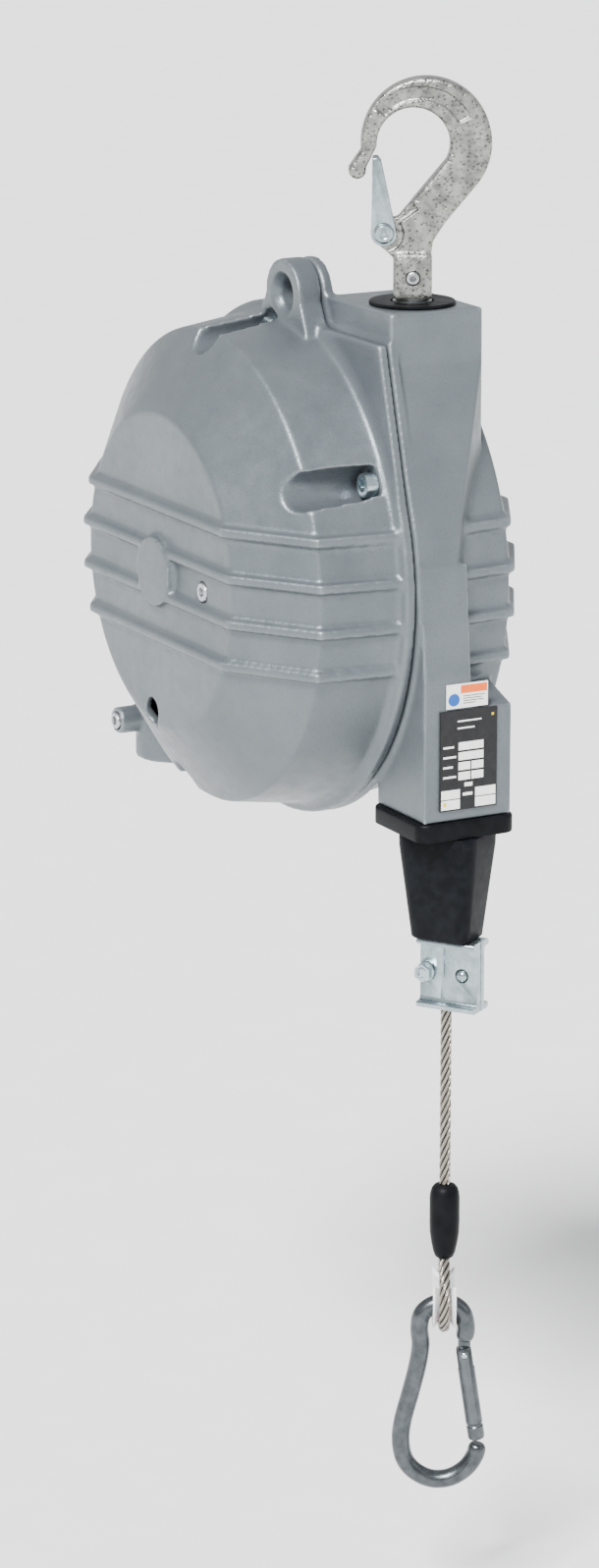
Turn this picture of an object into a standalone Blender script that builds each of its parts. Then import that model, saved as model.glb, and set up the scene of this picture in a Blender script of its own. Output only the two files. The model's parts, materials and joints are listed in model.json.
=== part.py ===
"""Spring tool balancer: a cast casing with a rope drum and a wound spring, hung from a swivel hook.

Run with: blender --background --python part.py
Sizes are in millimetres and are turned into metres when a mesh is made. The drum's axis is the
Y axis of the casing's own frame, the front cover faces -Y, and the two casing halves part at Y = 0.
"""

import math

import bmesh
import bpy
from mathutils import Matrix, Vector

MM = 0.001
GAP = 0.3  # clearance between pieces that touch
ROUND = 48  # facets round a casing
FINE = 24  # facets round a middle-sized part
SMALL = 12  # facets round a small part

# Casing
FLANGE_R = 107.5
FLANGE_T = 4.5
BAND_R = 103.6  # shell radius beside the flange
FRONT_BEND_R = 98.8  # where the front band turns into its cone
FRONT_BEND_Y = -39.0
FRONT_FACE_R = 65.6
FRONT_FACE_Y = -61.5
REAR_BEND_R = 98.0
REAR_BEND_Y = 48.0
REAR_FACE_R = 66.0
REAR_FACE_Y = 66.0
WALL = 3.6
RIB_PITCH = 18.4
RIB_HEIGHT = 3.0
RIB_WIDTH = 4.0
BOSS_R = 14.5
CORNER_X = 82.5  # corner of the flange under the neck
CORNER_Z = 101.5
CORNER_LOW = (105.5, 20.0)

# Lug for the safety chain, split between the halves
LUG_X = 13.0
LUG_Z = 112.8
LUG_R = 14.7
LUG_HOLE_R = 6.3
LUG_FRONT_Y = -11.0
LUG_REAR_Y = 5.0
LUG_CHAMFER = 3.0

# Neck that carries the hook, and the block that guides the rope
NECK_TOP = 113.5
NECK_X = (26.0, 82.0)
NECK_Y = (1.5, 44.0)
NECK_TAPER = (23.1, 43.5)  # across the slanting rear side
GUIDE_X = (72.0, 111.0)
GUIDE_Y = (1.5, 42.5)
GUIDE_TOP = -44.0
GUIDE_BOTTOM = -90.0
MIDDLE_Y = 23.5  # rear side of the narrow stretch between neck and guide block

# Swivel hook
HOOK_X = 62.0
HOOK_Y = 22.5
HOOK_TURN = 62.0  # degrees that the hook's plane is turned about Z
WASHER_R = 17.6
WASHER_T = 1.6
SHANK_R = 8.5
SHANK_H = 21.0
OUTER_CENTRE = (5.2, 63.3)  # hook's outer arc, from the foot of the shank
OUTER_R = 26.3
INNER_CENTRE = (0.0, 62.9)
INNER_R = 14.6
HOOK_T = 12.0
HOOK_BEVEL = 1.8
LATCH_PIVOT = (-11.7, 27.2)
LATCH_R = 5.2
LATCH_LENGTH = 30.5
LATCH_LEAN = 6.0  # degrees that the latch leans back from upright
EAR_T = 7.0
SHEET = 1.4
RIVET_R = 2.4
STUD_R = 5.0
STEM_R = 8.0
STEM_HEAD_R = 13.0
STEM_HEAD_T = 6.0
BEARING_T = 7.0
NECK_ROOF = 15.0  # thickness of the neck's roof, which the stem hangs in
CHAMBER_R = 15.5
PIN_R = 2.7

# Rope and drum
ROPE_R = 2.4
ROPE_X = 95.0
ROPE_Y = 22.0
TURN_REST_R = 80.0  # rope centreline on the last turn, with the rope wound in
TURN_FAR_R = 90.0
TURN_PITCH = 6.0
TRAVEL = 2000.0
TURNS = TRAVEL / (math.pi * (TURN_REST_R + TURN_FAR_R))
COIL_Y = 14.4  # front end of the wound turns
DRUM_FLANGE_T = 2.6
DRUM_FLANGE_H = 3.0
SHAFT_R = 10.0
BEARING_R = 15.7
BEARING_W = 7.0
HUB_R = 16.0

# Spring case with its worm wheel, and the worm
TEETH = 66
MODULE = 2.5
WHEEL_Y = -8.0
WHEEL_W = 8.0
CASE_R = 77.0
CASE_FRONT_Y = -44.0
CASE_WALL = 2.4
WORM_PITCH_R = 10.5
WORM_CORE_R = 7.6
WORM_THREAD_H = 30.0
BACKLASH = 1.2
WORM_BOSS_R = 17.6
WORM_BOSS_Z = (-106.0, 26.0)
SPRING_COILS = 8
STRIP_T = 1.2

# Cover screws
SCREW_CIRCLE_R = 97.2
SCREW_ANGLES = (28.5, 88.3, 150.0, 225.0, 259.0)
SCREW_HEAD_R = 5.0
SCREW_HEAD_H = 5.0
SCREW_R = 3.0
SCREW_SEAT_Y = -8.0
SCREW_LENGTH = 18.0
POCKET_R = 8.0
POCKET_WALL = 2.4

# What hangs under the casing
COLLAR_T = 7.5
COLLAR_LIP = 2.0
BUMPER_TOP = (17.4, 15.0)  # half sizes along its own X and Y
BUMPER_FOOT = (13.0, 10.0)
BUMPER_H = 45.6
CLAMP_TURN = 34.0
CLAMP_W = 26.0
CLAMP_SHIFT = 2.6  # from the rope to the middle of the plates
CLAMP_H = 30.0
CLAMP_T = 3.0
CLAMP_LIP = 4.0
CLAMP_BOLT_X = (-7.6, 8.6)  # bolt, and stud, from the rope
BOLT_R = 2.5
SLEEVE_TOP = -251.5
SLEEVE_H = 32.4
SLEEVE_R = 6.3
EYE_W = 10.0  # width of the thimble across the rope
EYE_R = 8.2  # inside of the thimble
EYE_ROPE = 5.4  # from the inside of the thimble out to the rope's centre
WIRE_R = 3.9
WIRE_Z = -304.5  # centre of the snap hook's wire in the eye
GATE_TOP = (8.7, -327.0)
GATE_FOOT = (14.3, -365.5)
GATE_R = 3.6
TONGUE_T = 2.6

# Labels
PLATE_Y = (8.7, 35.0)
PLATE_Z = (-85.5, -44.0)
STICKER_Y = (11.5, 30.5)
STICKER_Z = (-43.0, -33.0)
LABEL_T = 0.6

HOOK_FOOT = NECK_TOP + WASHER_T + GAP
SEAT_Z = HOOK_FOOT + INNER_CENTRE[1] + INNER_R  # where the hook bears on what it hangs from


# ---------------------------------------------------------------- tools


def clear_scene():
    for thing in list(bpy.data.objects):
        bpy.data.objects.remove(thing, do_unlink=True)


def finish(name, colour, roughness, metallic):
    made = bpy.data.materials.new(name)
    made.use_nodes = True
    shader = made.node_tree.nodes["Principled BSDF"]
    shader.inputs["Base Color"].default_value = (*colour, 1.0)
    shader.inputs["Roughness"].default_value = roughness
    shader.inputs["Metallic"].default_value = metallic
    return made


def empty(name, parent=None, place=(0, 0, 0), turn=0.0):
    made = bpy.data.objects.new(name, None)
    bpy.context.scene.collection.objects.link(made)
    made.parent = parent
    made.location = Vector(place) * MM
    made.rotation_euler = (0, 0, math.radians(turn))
    return made


def add(name, bm, parent, material=None, place=(0, 0, 0), smooth=True):
    """One object from a bmesh in millimetres. Without a material it is a hidden cutter or addition."""
    bmesh.ops.remove_doubles(bm, verts=bm.verts, dist=0.0005)
    bmesh.ops.recalc_face_normals(bm, faces=bm.faces)
    bmesh.ops.scale(bm, vec=(MM, MM, MM), verts=bm.verts)
    mesh = bpy.data.meshes.new(name)
    bm.to_mesh(mesh)
    bm.free()
    if smooth:
        mesh.shade_smooth()
        mesh.set_sharp_from_angle(angle=math.radians(30))
    made = bpy.data.objects.new(name, mesh)
    bpy.context.scene.collection.objects.link(made)
    made.parent = parent
    made.location = Vector(place) * MM
    if material:
        mesh.materials.append(material)
    else:
        made.hide_render = True
        made.display_type = "WIRE"
    return made


def boolean(target, operation, tools):
    """Join or cut with all the tools in one step, which keeps the surface closed."""
    step = target.modifiers.new(operation.lower(), "BOOLEAN")
    step.operation = operation
    step.solver = "EXACT"
    if len(tools) == 1:
        step.object = tools[0]
        return target
    group = bpy.data.collections.new(f"{target.name}_{operation.lower()}")
    bpy.context.scene.collection.children.link(group)
    for tool in tools:
        bpy.context.scene.collection.objects.unlink(tool)
        group.objects.link(tool)
    step.operand_type = "COLLECTION"
    step.collection = group
    return target


def turned(profile, steps, centre=(0, 0, 0), axis="Y"):
    """A turned solid. The profile lists (radius, height) points and closes on itself or on its axis."""
    bm = bmesh.new()
    points = [bm.verts.new((radius, height, 0)) for radius, height in profile]
    closed = all(radius > 0 for radius, _ in profile)
    pairs = list(zip(points, points[1:]))
    if closed:
        pairs.append((points[-1], points[0]))
    edges = [bm.edges.new(pair) for pair in pairs]
    bmesh.ops.spin(
        bm,
        geom=points + edges,
        cent=(0, 0, 0),
        axis=(0, 1, 0),
        angle=math.tau,
        steps=steps,
        use_merge=True,
    )
    bmesh.ops.remove_doubles(bm, verts=bm.verts, dist=0.0005)
    if axis == "Z":
        bmesh.ops.rotate(bm, verts=bm.verts, matrix=Matrix.Rotation(math.radians(90), 3, "X"))
    if axis == "X":
        bmesh.ops.rotate(bm, verts=bm.verts, matrix=Matrix.Rotation(math.radians(-90), 3, "Z"))
    bmesh.ops.translate(bm, vec=centre, verts=bm.verts)
    return bm


def rod(radius, low, high, steps=SMALL, centre=(0, 0, 0), axis="Y"):
    return turned([(0, low), (radius, low), (radius, high), (0, high)], steps, centre, axis)


def ring(inner, outer, low, high, steps=FINE, centre=(0, 0, 0), axis="Y"):
    profile = [(inner, low), (outer, low), (outer, high), (inner, high)]
    return turned(profile, steps, centre, axis)


def block(low, high):
    bm = bmesh.new()
    bmesh.ops.create_cube(bm, size=1.0)
    size = [b - a for a, b in zip(low, high)]
    middle = [(a + b) / 2 for a, b in zip(low, high)]
    bmesh.ops.scale(bm, vec=size, verts=bm.verts)
    bmesh.ops.translate(bm, vec=middle, verts=bm.verts)
    return bm


def prism(outline, low, high):
    """An outline of (x, z) points, extruded along Y from low to high."""
    bm = bmesh.new()
    face = bm.faces.new([bm.verts.new((x, low, z)) for x, z in outline])
    grown = bmesh.ops.extrude_face_region(bm, geom=[face])
    moved = [item for item in grown["geom"] if isinstance(item, bmesh.types.BMVert)]
    bmesh.ops.translate(bm, vec=(0, high - low, 0), verts=moved)
    return bm


def arc(centre, radius, start, end, steps):
    points = []
    for index in range(steps + 1):
        angle = math.radians(start + (end - start) * index / steps)
        points.append((centre[0] + radius * math.cos(angle), centre[1] + radius * math.sin(angle)))
    return points


def rounded_plate(outline, thickness, bevel):
    """A flat forging in the XZ plane with its edges bevelled back on both sides."""
    bm = prism(outline, -thickness / 2, thickness / 2)
    rims = [e for e in bm.edges if abs(e.verts[0].co.y - e.verts[1].co.y) < 1e-6]
    bmesh.ops.bevel(bm, geom=rims, offset=bevel, segments=1, profile=0.5, affect="EDGES")
    return bm


def through_points(points, per_span):
    """Points on a smooth open curve through the given ones (Catmull-Rom)."""
    whole = [Vector(p) for p in points]
    whole = [whole[0] * 2 - whole[1]] + whole + [whole[-1] * 2 - whole[-2]]
    found = []
    for a, b, c, d in zip(whole, whole[1:], whole[2:], whole[3:]):
        for step in range(per_span):
            t = step / per_span
            found.append(
                0.5 * (2 * b + (c - a) * t + (2 * a - 5 * b + 4 * c - d) * t**2)
                + 0.5 * (3 * b - a - 3 * c + d) * t**3
            )
    found.append(whole[-2])
    return found


def tube(name, points, radius, parent, material, place=(0, 0, 0), sides=2):
    """A round bar or cord along points, as a curve with a bevel and filled caps."""
    curve = bpy.data.curves.new(name, "CURVE")
    curve.dimensions = "3D"
    curve.bevel_depth = radius * MM
    curve.bevel_resolution = sides
    curve.use_fill_caps = True
    spline = curve.splines.new("POLY")
    spline.points.add(len(points) - 1)
    for spot, point in zip(spline.points, points):
        spot.co = (*(Vector(point) * MM), 1.0)
    made = bpy.data.objects.new(name, curve)
    bpy.context.scene.collection.objects.link(made)
    made.parent = parent
    made.location = Vector(place) * MM
    curve.materials.append(material)
    return made


def flat_bar(points, radius, sides):
    """A round bar as a mesh, along points (x, z) that stay in the XZ plane."""
    spots = [Vector((x, 0, z)) for x, z in points]
    bm = bmesh.new()
    loops = []
    for index, spot in enumerate(spots):
        before, after = spots[max(index - 1, 0)], spots[min(index + 1, len(spots) - 1)]
        along = (after - before).normalized()
        inward = Vector((along.z, 0, -along.x))
        loop = []
        for side in range(sides):
            turn = math.tau * side / sides
            offset = inward * math.cos(turn) + Vector((0, 1, 0)) * math.sin(turn)
            loop.append(bm.verts.new(spot + offset * radius))
        loops.append(loop)
    join_loops(bm, loops)
    return bm


def join_loops(bm, loops):
    """Skin between loops of equal length, with a face over each end."""
    count = len(loops[0])
    for one, two in zip(loops, loops[1:]):
        for index in range(count):
            after = (index + 1) % count
            bm.faces.new((one[index], one[after], two[after], two[index]))
    bm.faces.new(loops[0])
    bm.faces.new(loops[-1])


# ---------------------------------------------------------------- casing


def shell_profile(front):
    """Outside of a casing half, as (radius, y) from the axis out to past the parting plane."""
    if front:
        return [
            (0, FRONT_FACE_Y),
            (FRONT_FACE_R, FRONT_FACE_Y),
            (FRONT_BEND_R, FRONT_BEND_Y),
            (BAND_R, -FLANGE_T - 1.5),
            (FLANGE_R, -FLANGE_T),
            (FLANGE_R, FLANGE_T),
            (0, FLANGE_T),
        ]
    return [
        (0, -FLANGE_T),
        (FLANGE_R, -FLANGE_T),
        (FLANGE_R, FLANGE_T),
        (BAND_R, FLANGE_T + 1.5),
        (REAR_BEND_R, REAR_BEND_Y),
        (REAR_FACE_R, REAR_FACE_Y),
        (0, REAR_FACE_Y),
    ]


def hollow_profile(front):
    if front:
        return [
            (0, FRONT_FACE_Y + WALL),
            (FRONT_FACE_R - WALL / 2, FRONT_FACE_Y + WALL),
            (FRONT_BEND_R - WALL, FRONT_BEND_Y + WALL / 2),
            (BAND_R - WALL, -1.0),
            (BAND_R - WALL, 2 * FLANGE_T),
            (0, 2 * FLANGE_T),
        ]
    return [
        (0, -2 * FLANGE_T),
        (BAND_R - WALL, -2 * FLANGE_T),
        (BAND_R - WALL, FLANGE_T),
        (REAR_BEND_R - WALL, REAR_BEND_Y - WALL / 2),
        (REAR_FACE_R - WALL / 2, REAR_FACE_Y - WALL),
        (0, REAR_FACE_Y - WALL),
    ]


def rib_outline(front, height):
    """Section of a rib at one height: the shell's outline there, stood off by the rib's height."""
    sign = -1 if front else 1
    bend_r, bend_y = (FRONT_BEND_R, FRONT_BEND_Y) if front else (REAR_BEND_R, REAR_BEND_Y)
    face_r, face_y = (FRONT_FACE_R, FRONT_FACE_Y) if front else (REAR_FACE_R, REAR_FACE_Y)
    spots = [
        (BAND_R + RIB_HEIGHT * 0.8, sign * FLANGE_T / 2),
        (bend_r + RIB_HEIGHT, bend_y + sign * RIB_HEIGHT * 0.4),
        (face_r + RIB_HEIGHT * 0.4, face_y + sign * RIB_HEIGHT),
    ]
    side = [(math.sqrt(radius**2 - height**2), y) for radius, y in spots]
    return side + [(-x, y) for x, y in reversed(side)]


def rib(front, height, parent, name):
    bm = bmesh.new()
    low = height - RIB_WIDTH / 2
    face = bm.faces.new([bm.verts.new((x, y, low)) for x, y in rib_outline(front, height)])
    grown = bmesh.ops.extrude_face_region(bm, geom=[face])
    moved = [item for item in grown["geom"] if isinstance(item, bmesh.types.BMVert)]
    bmesh.ops.translate(bm, vec=(0, 0, RIB_WIDTH), verts=moved)
    return add(name, bm, parent)


def rib_heights():
    return [RIB_PITCH * (index - 1.5) for index in range(4)]


def lug_outline():
    """Rounded lug on a wide foot."""
    return [(LUG_X + 24, 92.0), *arc((LUG_X, LUG_Z), LUG_R, -5, 185, 14), (LUG_X - 29, 92.0)]


def corner_outline():
    return [(0, 0), CORNER_LOW, (CORNER_X, CORNER_Z), (CORNER_X - 50, CORNER_Z), (0, 80.0)]


def screw_spots():
    for angle in SCREW_ANGLES:
        turn = math.radians(angle)
        yield SCREW_CIRCLE_R * math.cos(turn), SCREW_CIRCLE_R * math.sin(turn)


def worm_axis_x():
    return -(TEETH * MODULE / 2 + WORM_PITCH_R)


def hollow(front, casing, name, bosses):
    """The cavity of a half, less the solid metal round each screw."""
    made = add(name, turned(hollow_profile(front), ROUND), casing)
    return boolean(made, "DIFFERENCE", bosses)


def worm_bores(casing, label):
    """The worm's room and its shaft hole, cut from both halves."""
    spot = (worm_axis_x(), WHEEL_Y, 0)
    room = WORM_PITCH_R + MODULE + 0.8
    half = WORM_THREAD_H / 2 + 1.0
    return [
        add(label + "_room", rod(room, -half, half, FINE, spot, "Z"), casing),
        add(label + "_bore", rod(WORM_CORE_R + GAP, -120, 22, SMALL, spot, "Z"), casing),
    ]


def worm_boss(casing, label):
    spot = (worm_axis_x(), WHEEL_Y, 0)
    return add(label, rod(WORM_BOSS_R, *WORM_BOSS_Z, FINE, spot, "Z"), casing)


def lug_hole(casing, label):
    cone = LUG_HOLE_R + LUG_CHAMFER
    profile = [
        (0, LUG_FRONT_Y - 1),
        (cone + 1, LUG_FRONT_Y - 1),
        (LUG_HOLE_R, LUG_FRONT_Y + LUG_CHAMFER),
        (LUG_HOLE_R, LUG_REAR_Y - LUG_CHAMFER),
        (cone + 1, LUG_REAR_Y + 1),
        (0, LUG_REAR_Y + 1),
    ]
    return add(label, turned(profile, FINE, (LUG_X, 0, LUG_Z)), casing)


def front_cover(casing, cast):
    cover = add("front_cover", turned(shell_profile(True), ROUND), casing, cast)
    parts = [
        add("cover_corner", prism(corner_outline(), 0.2 - FLANGE_T, 6.0), casing),
        add("cover_lug", prism(lug_outline(), LUG_FRONT_Y, 8.0), casing),
        worm_boss(casing, "cover_worm_boss"),
        add("cover_boss", rod(BOSS_R, FRONT_FACE_Y - 3.5, FRONT_FACE_Y + 1, FINE), casing),
        add("adjuster_boss", adjuster_boss(), casing),
    ]
    parts += [rib(True, z, casing, f"cover_rib_{i}") for i, z in enumerate(rib_heights())]
    boolean(cover, "UNION", parts)
    bosses = []
    for index, (x, z) in enumerate(screw_spots()):
        post = rod(POCKET_R + POCKET_WALL, -55, 2, SMALL, (x, 0, z))
        bosses.append(add(f"cover_post_{index}", post, casing))
    seat = ring(BEARING_R + GAP, BEARING_R + 4, FRONT_FACE_Y, FRONT_FACE_Y + 12)
    bosses.append(add("cover_bearing_seat", seat, casing))
    cuts = [hollow(True, casing, "cover_hollow", bosses)]
    for index, (x, z) in enumerate(screw_spots()):
        pocket = rod(POCKET_R, -75, SCREW_SEAT_Y, FINE, (x, 0, z))
        cuts.append(add(f"cover_pocket_{index}", pocket, casing))
        hole = rod(SCREW_R + GAP, -12, 6, SMALL, (x, 0, z))
        cuts.append(add(f"cover_hole_{index}", hole, casing))
    cuts += worm_bores(casing, "cover_worm")
    cuts.append(lug_hole(casing, "cover_lug_hole"))
    sight = rod(6.0, -70, FRONT_FACE_Y + 12, SMALL, (-9.0, 0, -62.0))
    cuts.append(add("sight_hole", sight, casing))
    grub = rod(4.0 + GAP, -70, FRONT_FACE_Y + 12, SMALL, (38.5, 0, -1.6))
    cuts.append(add("grub_hole", grub, casing))
    plug = rod(3.6 + GAP, -60, WHEEL_Y - WORM_BOSS_R + 6, SMALL, adjuster_spot())
    cuts.append(add("adjuster_hole", plug, casing))
    cuts.append(add("cover_collar_room", collar_room(), casing))
    cuts.append(add("cover_parting", block((-200, -GAP / 2, -200), (200, 40, 200)), casing))
    return boolean(cover, "DIFFERENCE", cuts)


def adjuster_spot():
    return (worm_axis_x() - 1.5, 0, -88.0)


def adjuster_boss():
    """Round boss on the front of the worm's housing, which the lock plug screws into."""
    return rod(5.9, WHEEL_Y - WORM_BOSS_R - 10.5, WHEEL_Y - 8, SMALL, adjuster_spot())


def main_housing(casing, cast):
    body = add("main_housing", turned(shell_profile(False), ROUND), casing, cast)
    neck = [
        (NECK_X[0], 60.0),
        (NECK_X[0], NECK_TOP),
        (NECK_X[1], NECK_TOP),
        (NECK_X[1] + 1.0, 92.0),
        (105.0, 26.0),
        (107.0, 14.0),
        (70.0, 14.0),
    ]
    middle = [(80.0, 15.0), (107.0, 15.0), (GUIDE_X[1], -30.0), (GUIDE_X[1], -50.0), (80.0, -50.0)]
    guide = [
        (GUIDE_X[0], GUIDE_BOTTOM),
        (GUIDE_X[1], GUIDE_BOTTOM),
        (GUIDE_X[1], GUIDE_TOP),
        (GUIDE_X[0], GUIDE_TOP + 14),
    ]
    parts = [
        add("housing_corner", prism(corner_outline(), -6.0, FLANGE_T - 0.2), casing),
        add("housing_lug", prism(lug_outline(), -8.0, LUG_REAR_Y), casing),
        add("housing_neck", tapered_neck(neck), casing),
        add("housing_middle", prism(middle, NECK_Y[0] + 0.2, MIDDLE_Y), casing),
        add("housing_guide", prism(guide, GUIDE_Y[0] + 0.4, GUIDE_Y[1]), casing),
        worm_boss(casing, "housing_worm_boss"),
        add("housing_boss", rod(BOSS_R, REAR_FACE_Y - 1, REAR_FACE_Y + 3.5, FINE), casing),
    ]
    parts += [rib(False, z, casing, f"housing_rib_{i}") for i, z in enumerate(rib_heights())]
    boolean(body, "UNION", parts)
    bosses = []
    for index, (x, z) in enumerate(screw_spots()):
        post = rod(SCREW_R + 3.0, -2, 15, SMALL, (x, 0, z))
        bosses.append(add(f"housing_post_{index}", post, casing))
    seat = ring(BEARING_R + GAP, BEARING_R + 4, REAR_FACE_Y - 13, REAR_FACE_Y)
    bosses.append(add("housing_bearing_seat", seat, casing))
    cuts = [hollow(False, casing, "housing_hollow", bosses)]
    for index, (x, z) in enumerate(screw_spots()):
        hole = rod(SCREW_R + GAP, -6, 12.5, SMALL, (x, 0, z))
        cuts.append(add(f"housing_thread_{index}", hole, casing))
    cuts += worm_bores(casing, "housing_worm")
    cuts.append(lug_hole(casing, "housing_lug_hole"))
    stem = (HOOK_X, HOOK_Y, 0)
    roof = NECK_TOP - NECK_ROOF
    cuts.append(add("stem_bore", rod(STEM_R + GAP, roof - 5, NECK_TOP + 5, FINE, stem, "Z"), casing))
    cuts.append(add("stem_chamber", rod(CHAMBER_R, 60, roof, FINE, stem, "Z"), casing))
    room = block((GUIDE_X[0] + 6, GUIDE_Y[0] + 5, -72), (GUIDE_X[1] - 4, GUIDE_Y[1] - 4, -46))
    cuts.append(add("rope_room", room, casing))
    upper = block((GUIDE_X[0] + 6, GUIDE_Y[0] + 8, -50), (GUIDE_X[1] - 6, MIDDLE_Y - 2.6, -24))
    cuts.append(add("rope_upper_room", upper, casing))
    mouth = rod(guide_bush_r() + GAP, GUIDE_BOTTOM - 5, -60, FINE, (ROPE_X, ROPE_Y, 0), "Z")
    cuts.append(add("rope_mouth", mouth, casing))
    cuts.append(add("housing_collar_room", collar_room(), casing))
    cuts.append(add("housing_parting", block((-200, -40, -200), (200, GAP / 2, 200)), casing))
    return boolean(body, "DIFFERENCE", cuts)


def tapered_neck(outline):
    """The neck, whose rear side narrows where its outer side leans outward."""
    bm = prism(outline, *NECK_Y)
    bmesh.ops.bisect_plane(
        bm,
        geom=bm.verts[:] + bm.edges[:] + bm.faces[:],
        plane_co=(NECK_X[1] - 0.5, NECK_Y[1] + 0.1, 0),
        plane_no=(NECK_TAPER[0], NECK_TAPER[1], 0),
        clear_outer=True,
    )
    bmesh.ops.holes_fill(bm, edges=[edge for edge in bm.edges if edge.is_boundary])
    return bm


def guide_bush_r():
    return 12.0


def cover_screw(index, x, z, casing, zinc):
    head = SCREW_SEAT_Y - GAP
    tip = head + SCREW_LENGTH
    profile = [
        (0, head - SCREW_HEAD_H + 2.6),
        (2.6, head - SCREW_HEAD_H + 2.6),
        (2.6, head - SCREW_HEAD_H),
        (SCREW_HEAD_R - 0.6, head - SCREW_HEAD_H),
        (SCREW_HEAD_R, head - SCREW_HEAD_H + 0.6),
        (SCREW_HEAD_R, head),
        (SCREW_R, head),
        (SCREW_R, tip),
        (0, tip),
    ]
    add(f"cover_screw_{index}", turned(profile, 12), casing, zinc, (x, 0, z))


def small_fittings(casing, steel, black, bronze):
    """Set screw, lock plug, neck washer, bearings and labels' neighbours on the casing."""
    face = FRONT_FACE_Y
    socket = [
        (0, face + 2.5),
        (2.2, face + 2.5),
        (2.2, face - 0.2),
        (4.0, face - 0.2),
        (4.0, face + 8),
        (0, face + 8),
    ]
    add("set_screw", turned(socket, SMALL), casing, steel, (38.5, 0, -1.6))
    front = WHEEL_Y - WORM_BOSS_R - 10.5
    plug = [
        (0, front + 3),
        (2.2, front + 3),
        (2.2, front - 1.0),
        (3.6, front - 1.0),
        (3.6, front + 14),
        (0, front + 14),
    ]
    add("lock_plug", turned(plug, SMALL), casing, steel, adjuster_spot())
    washer = ring(SHANK_R - 0.2, WASHER_R, NECK_TOP + GAP, NECK_TOP + WASHER_T, FINE, axis="Z")
    add("neck_washer", washer, casing, black, (HOOK_X, HOOK_Y, 0))
    for name, low in (("front_bearing", face + WALL + 0.6), ("rear_bearing", REAR_FACE_Y - 12)):
        add(name, ring(SHAFT_R + GAP, BEARING_R, low, low + BEARING_W), casing, steel)
    bush_low = WHEEL_Y - WHEEL_W / 2
    bush = ring(SHAFT_R + GAP, SHAFT_R + 3.6, bush_low, bush_low + WHEEL_W + 6, FINE)
    add("case_bush", bush, casing, bronze)


def collar_box():
    """Lowest and highest corner of the collar under the guide block."""
    low = GUIDE_BOTTOM - GAP - COLLAR_T
    left, right = GUIDE_X[0] - COLLAR_LIP, GUIDE_X[1] + COLLAR_LIP
    front, rear = GUIDE_Y[0] - COLLAR_LIP, GUIDE_Y[1] + COLLAR_LIP
    return Vector((left, front, low)), Vector((right, rear, GUIDE_BOTTOM - GAP))


def collar_room():
    """Room for the collar, which keeps a larger flange clear of it."""
    low, high = collar_box()
    return block(low - Vector((GAP, GAP, GAP)), high + Vector((GAP, GAP, GAP)))


def rope_fittings(casing, black, white):
    """Bush that guides the rope, and the plastic collar that closes the casing under it."""
    spot = (ROPE_X, ROPE_Y, 0)
    outer = guide_bush_r()
    bore = 4.2
    bush = [
        (bore + 4, -62.5),
        (outer, -62.5),
        (outer, GUIDE_BOTTOM + 0.4),
        (bore + 2, GUIDE_BOTTOM + 0.4),
        (bore, GUIDE_BOTTOM + 6),
        (bore, -70.0),
    ]
    add("rope_bush", turned(bush, FINE, spot, "Z"), casing, white)
    low, high = collar_box()
    plate = block(low, high)
    uprights = [e for e in plate.edges if abs(e.verts[0].co.z - e.verts[1].co.z) > 1]
    bmesh.ops.bevel(plate, geom=uprights, offset=6.0, segments=3, profile=0.5, affect="EDGES")
    collar = add("guide_collar", plate, casing, black)
    hole = add("collar_hole", rod(bore, low.z - 5, low.z + 20, SMALL, spot, "Z"), casing)
    boolean(collar, "DIFFERENCE", [hole])


def labels(casing, plate_black, paper):
    side = GUIDE_X[1]
    for name, span_y, span_z, stuff in (
        ("rating_plate", PLATE_Y, PLATE_Z, plate_black),
        ("caution_label", STICKER_Y, STICKER_Z, paper),
    ):
        low = (side + GAP, span_y[0], span_z[0])
        high = (side + GAP + LABEL_T, span_y[1], span_z[1])
        add(name, block(low, high), casing, stuff, smooth=False)


# ---------------------------------------------------------------- drum and spring


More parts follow.
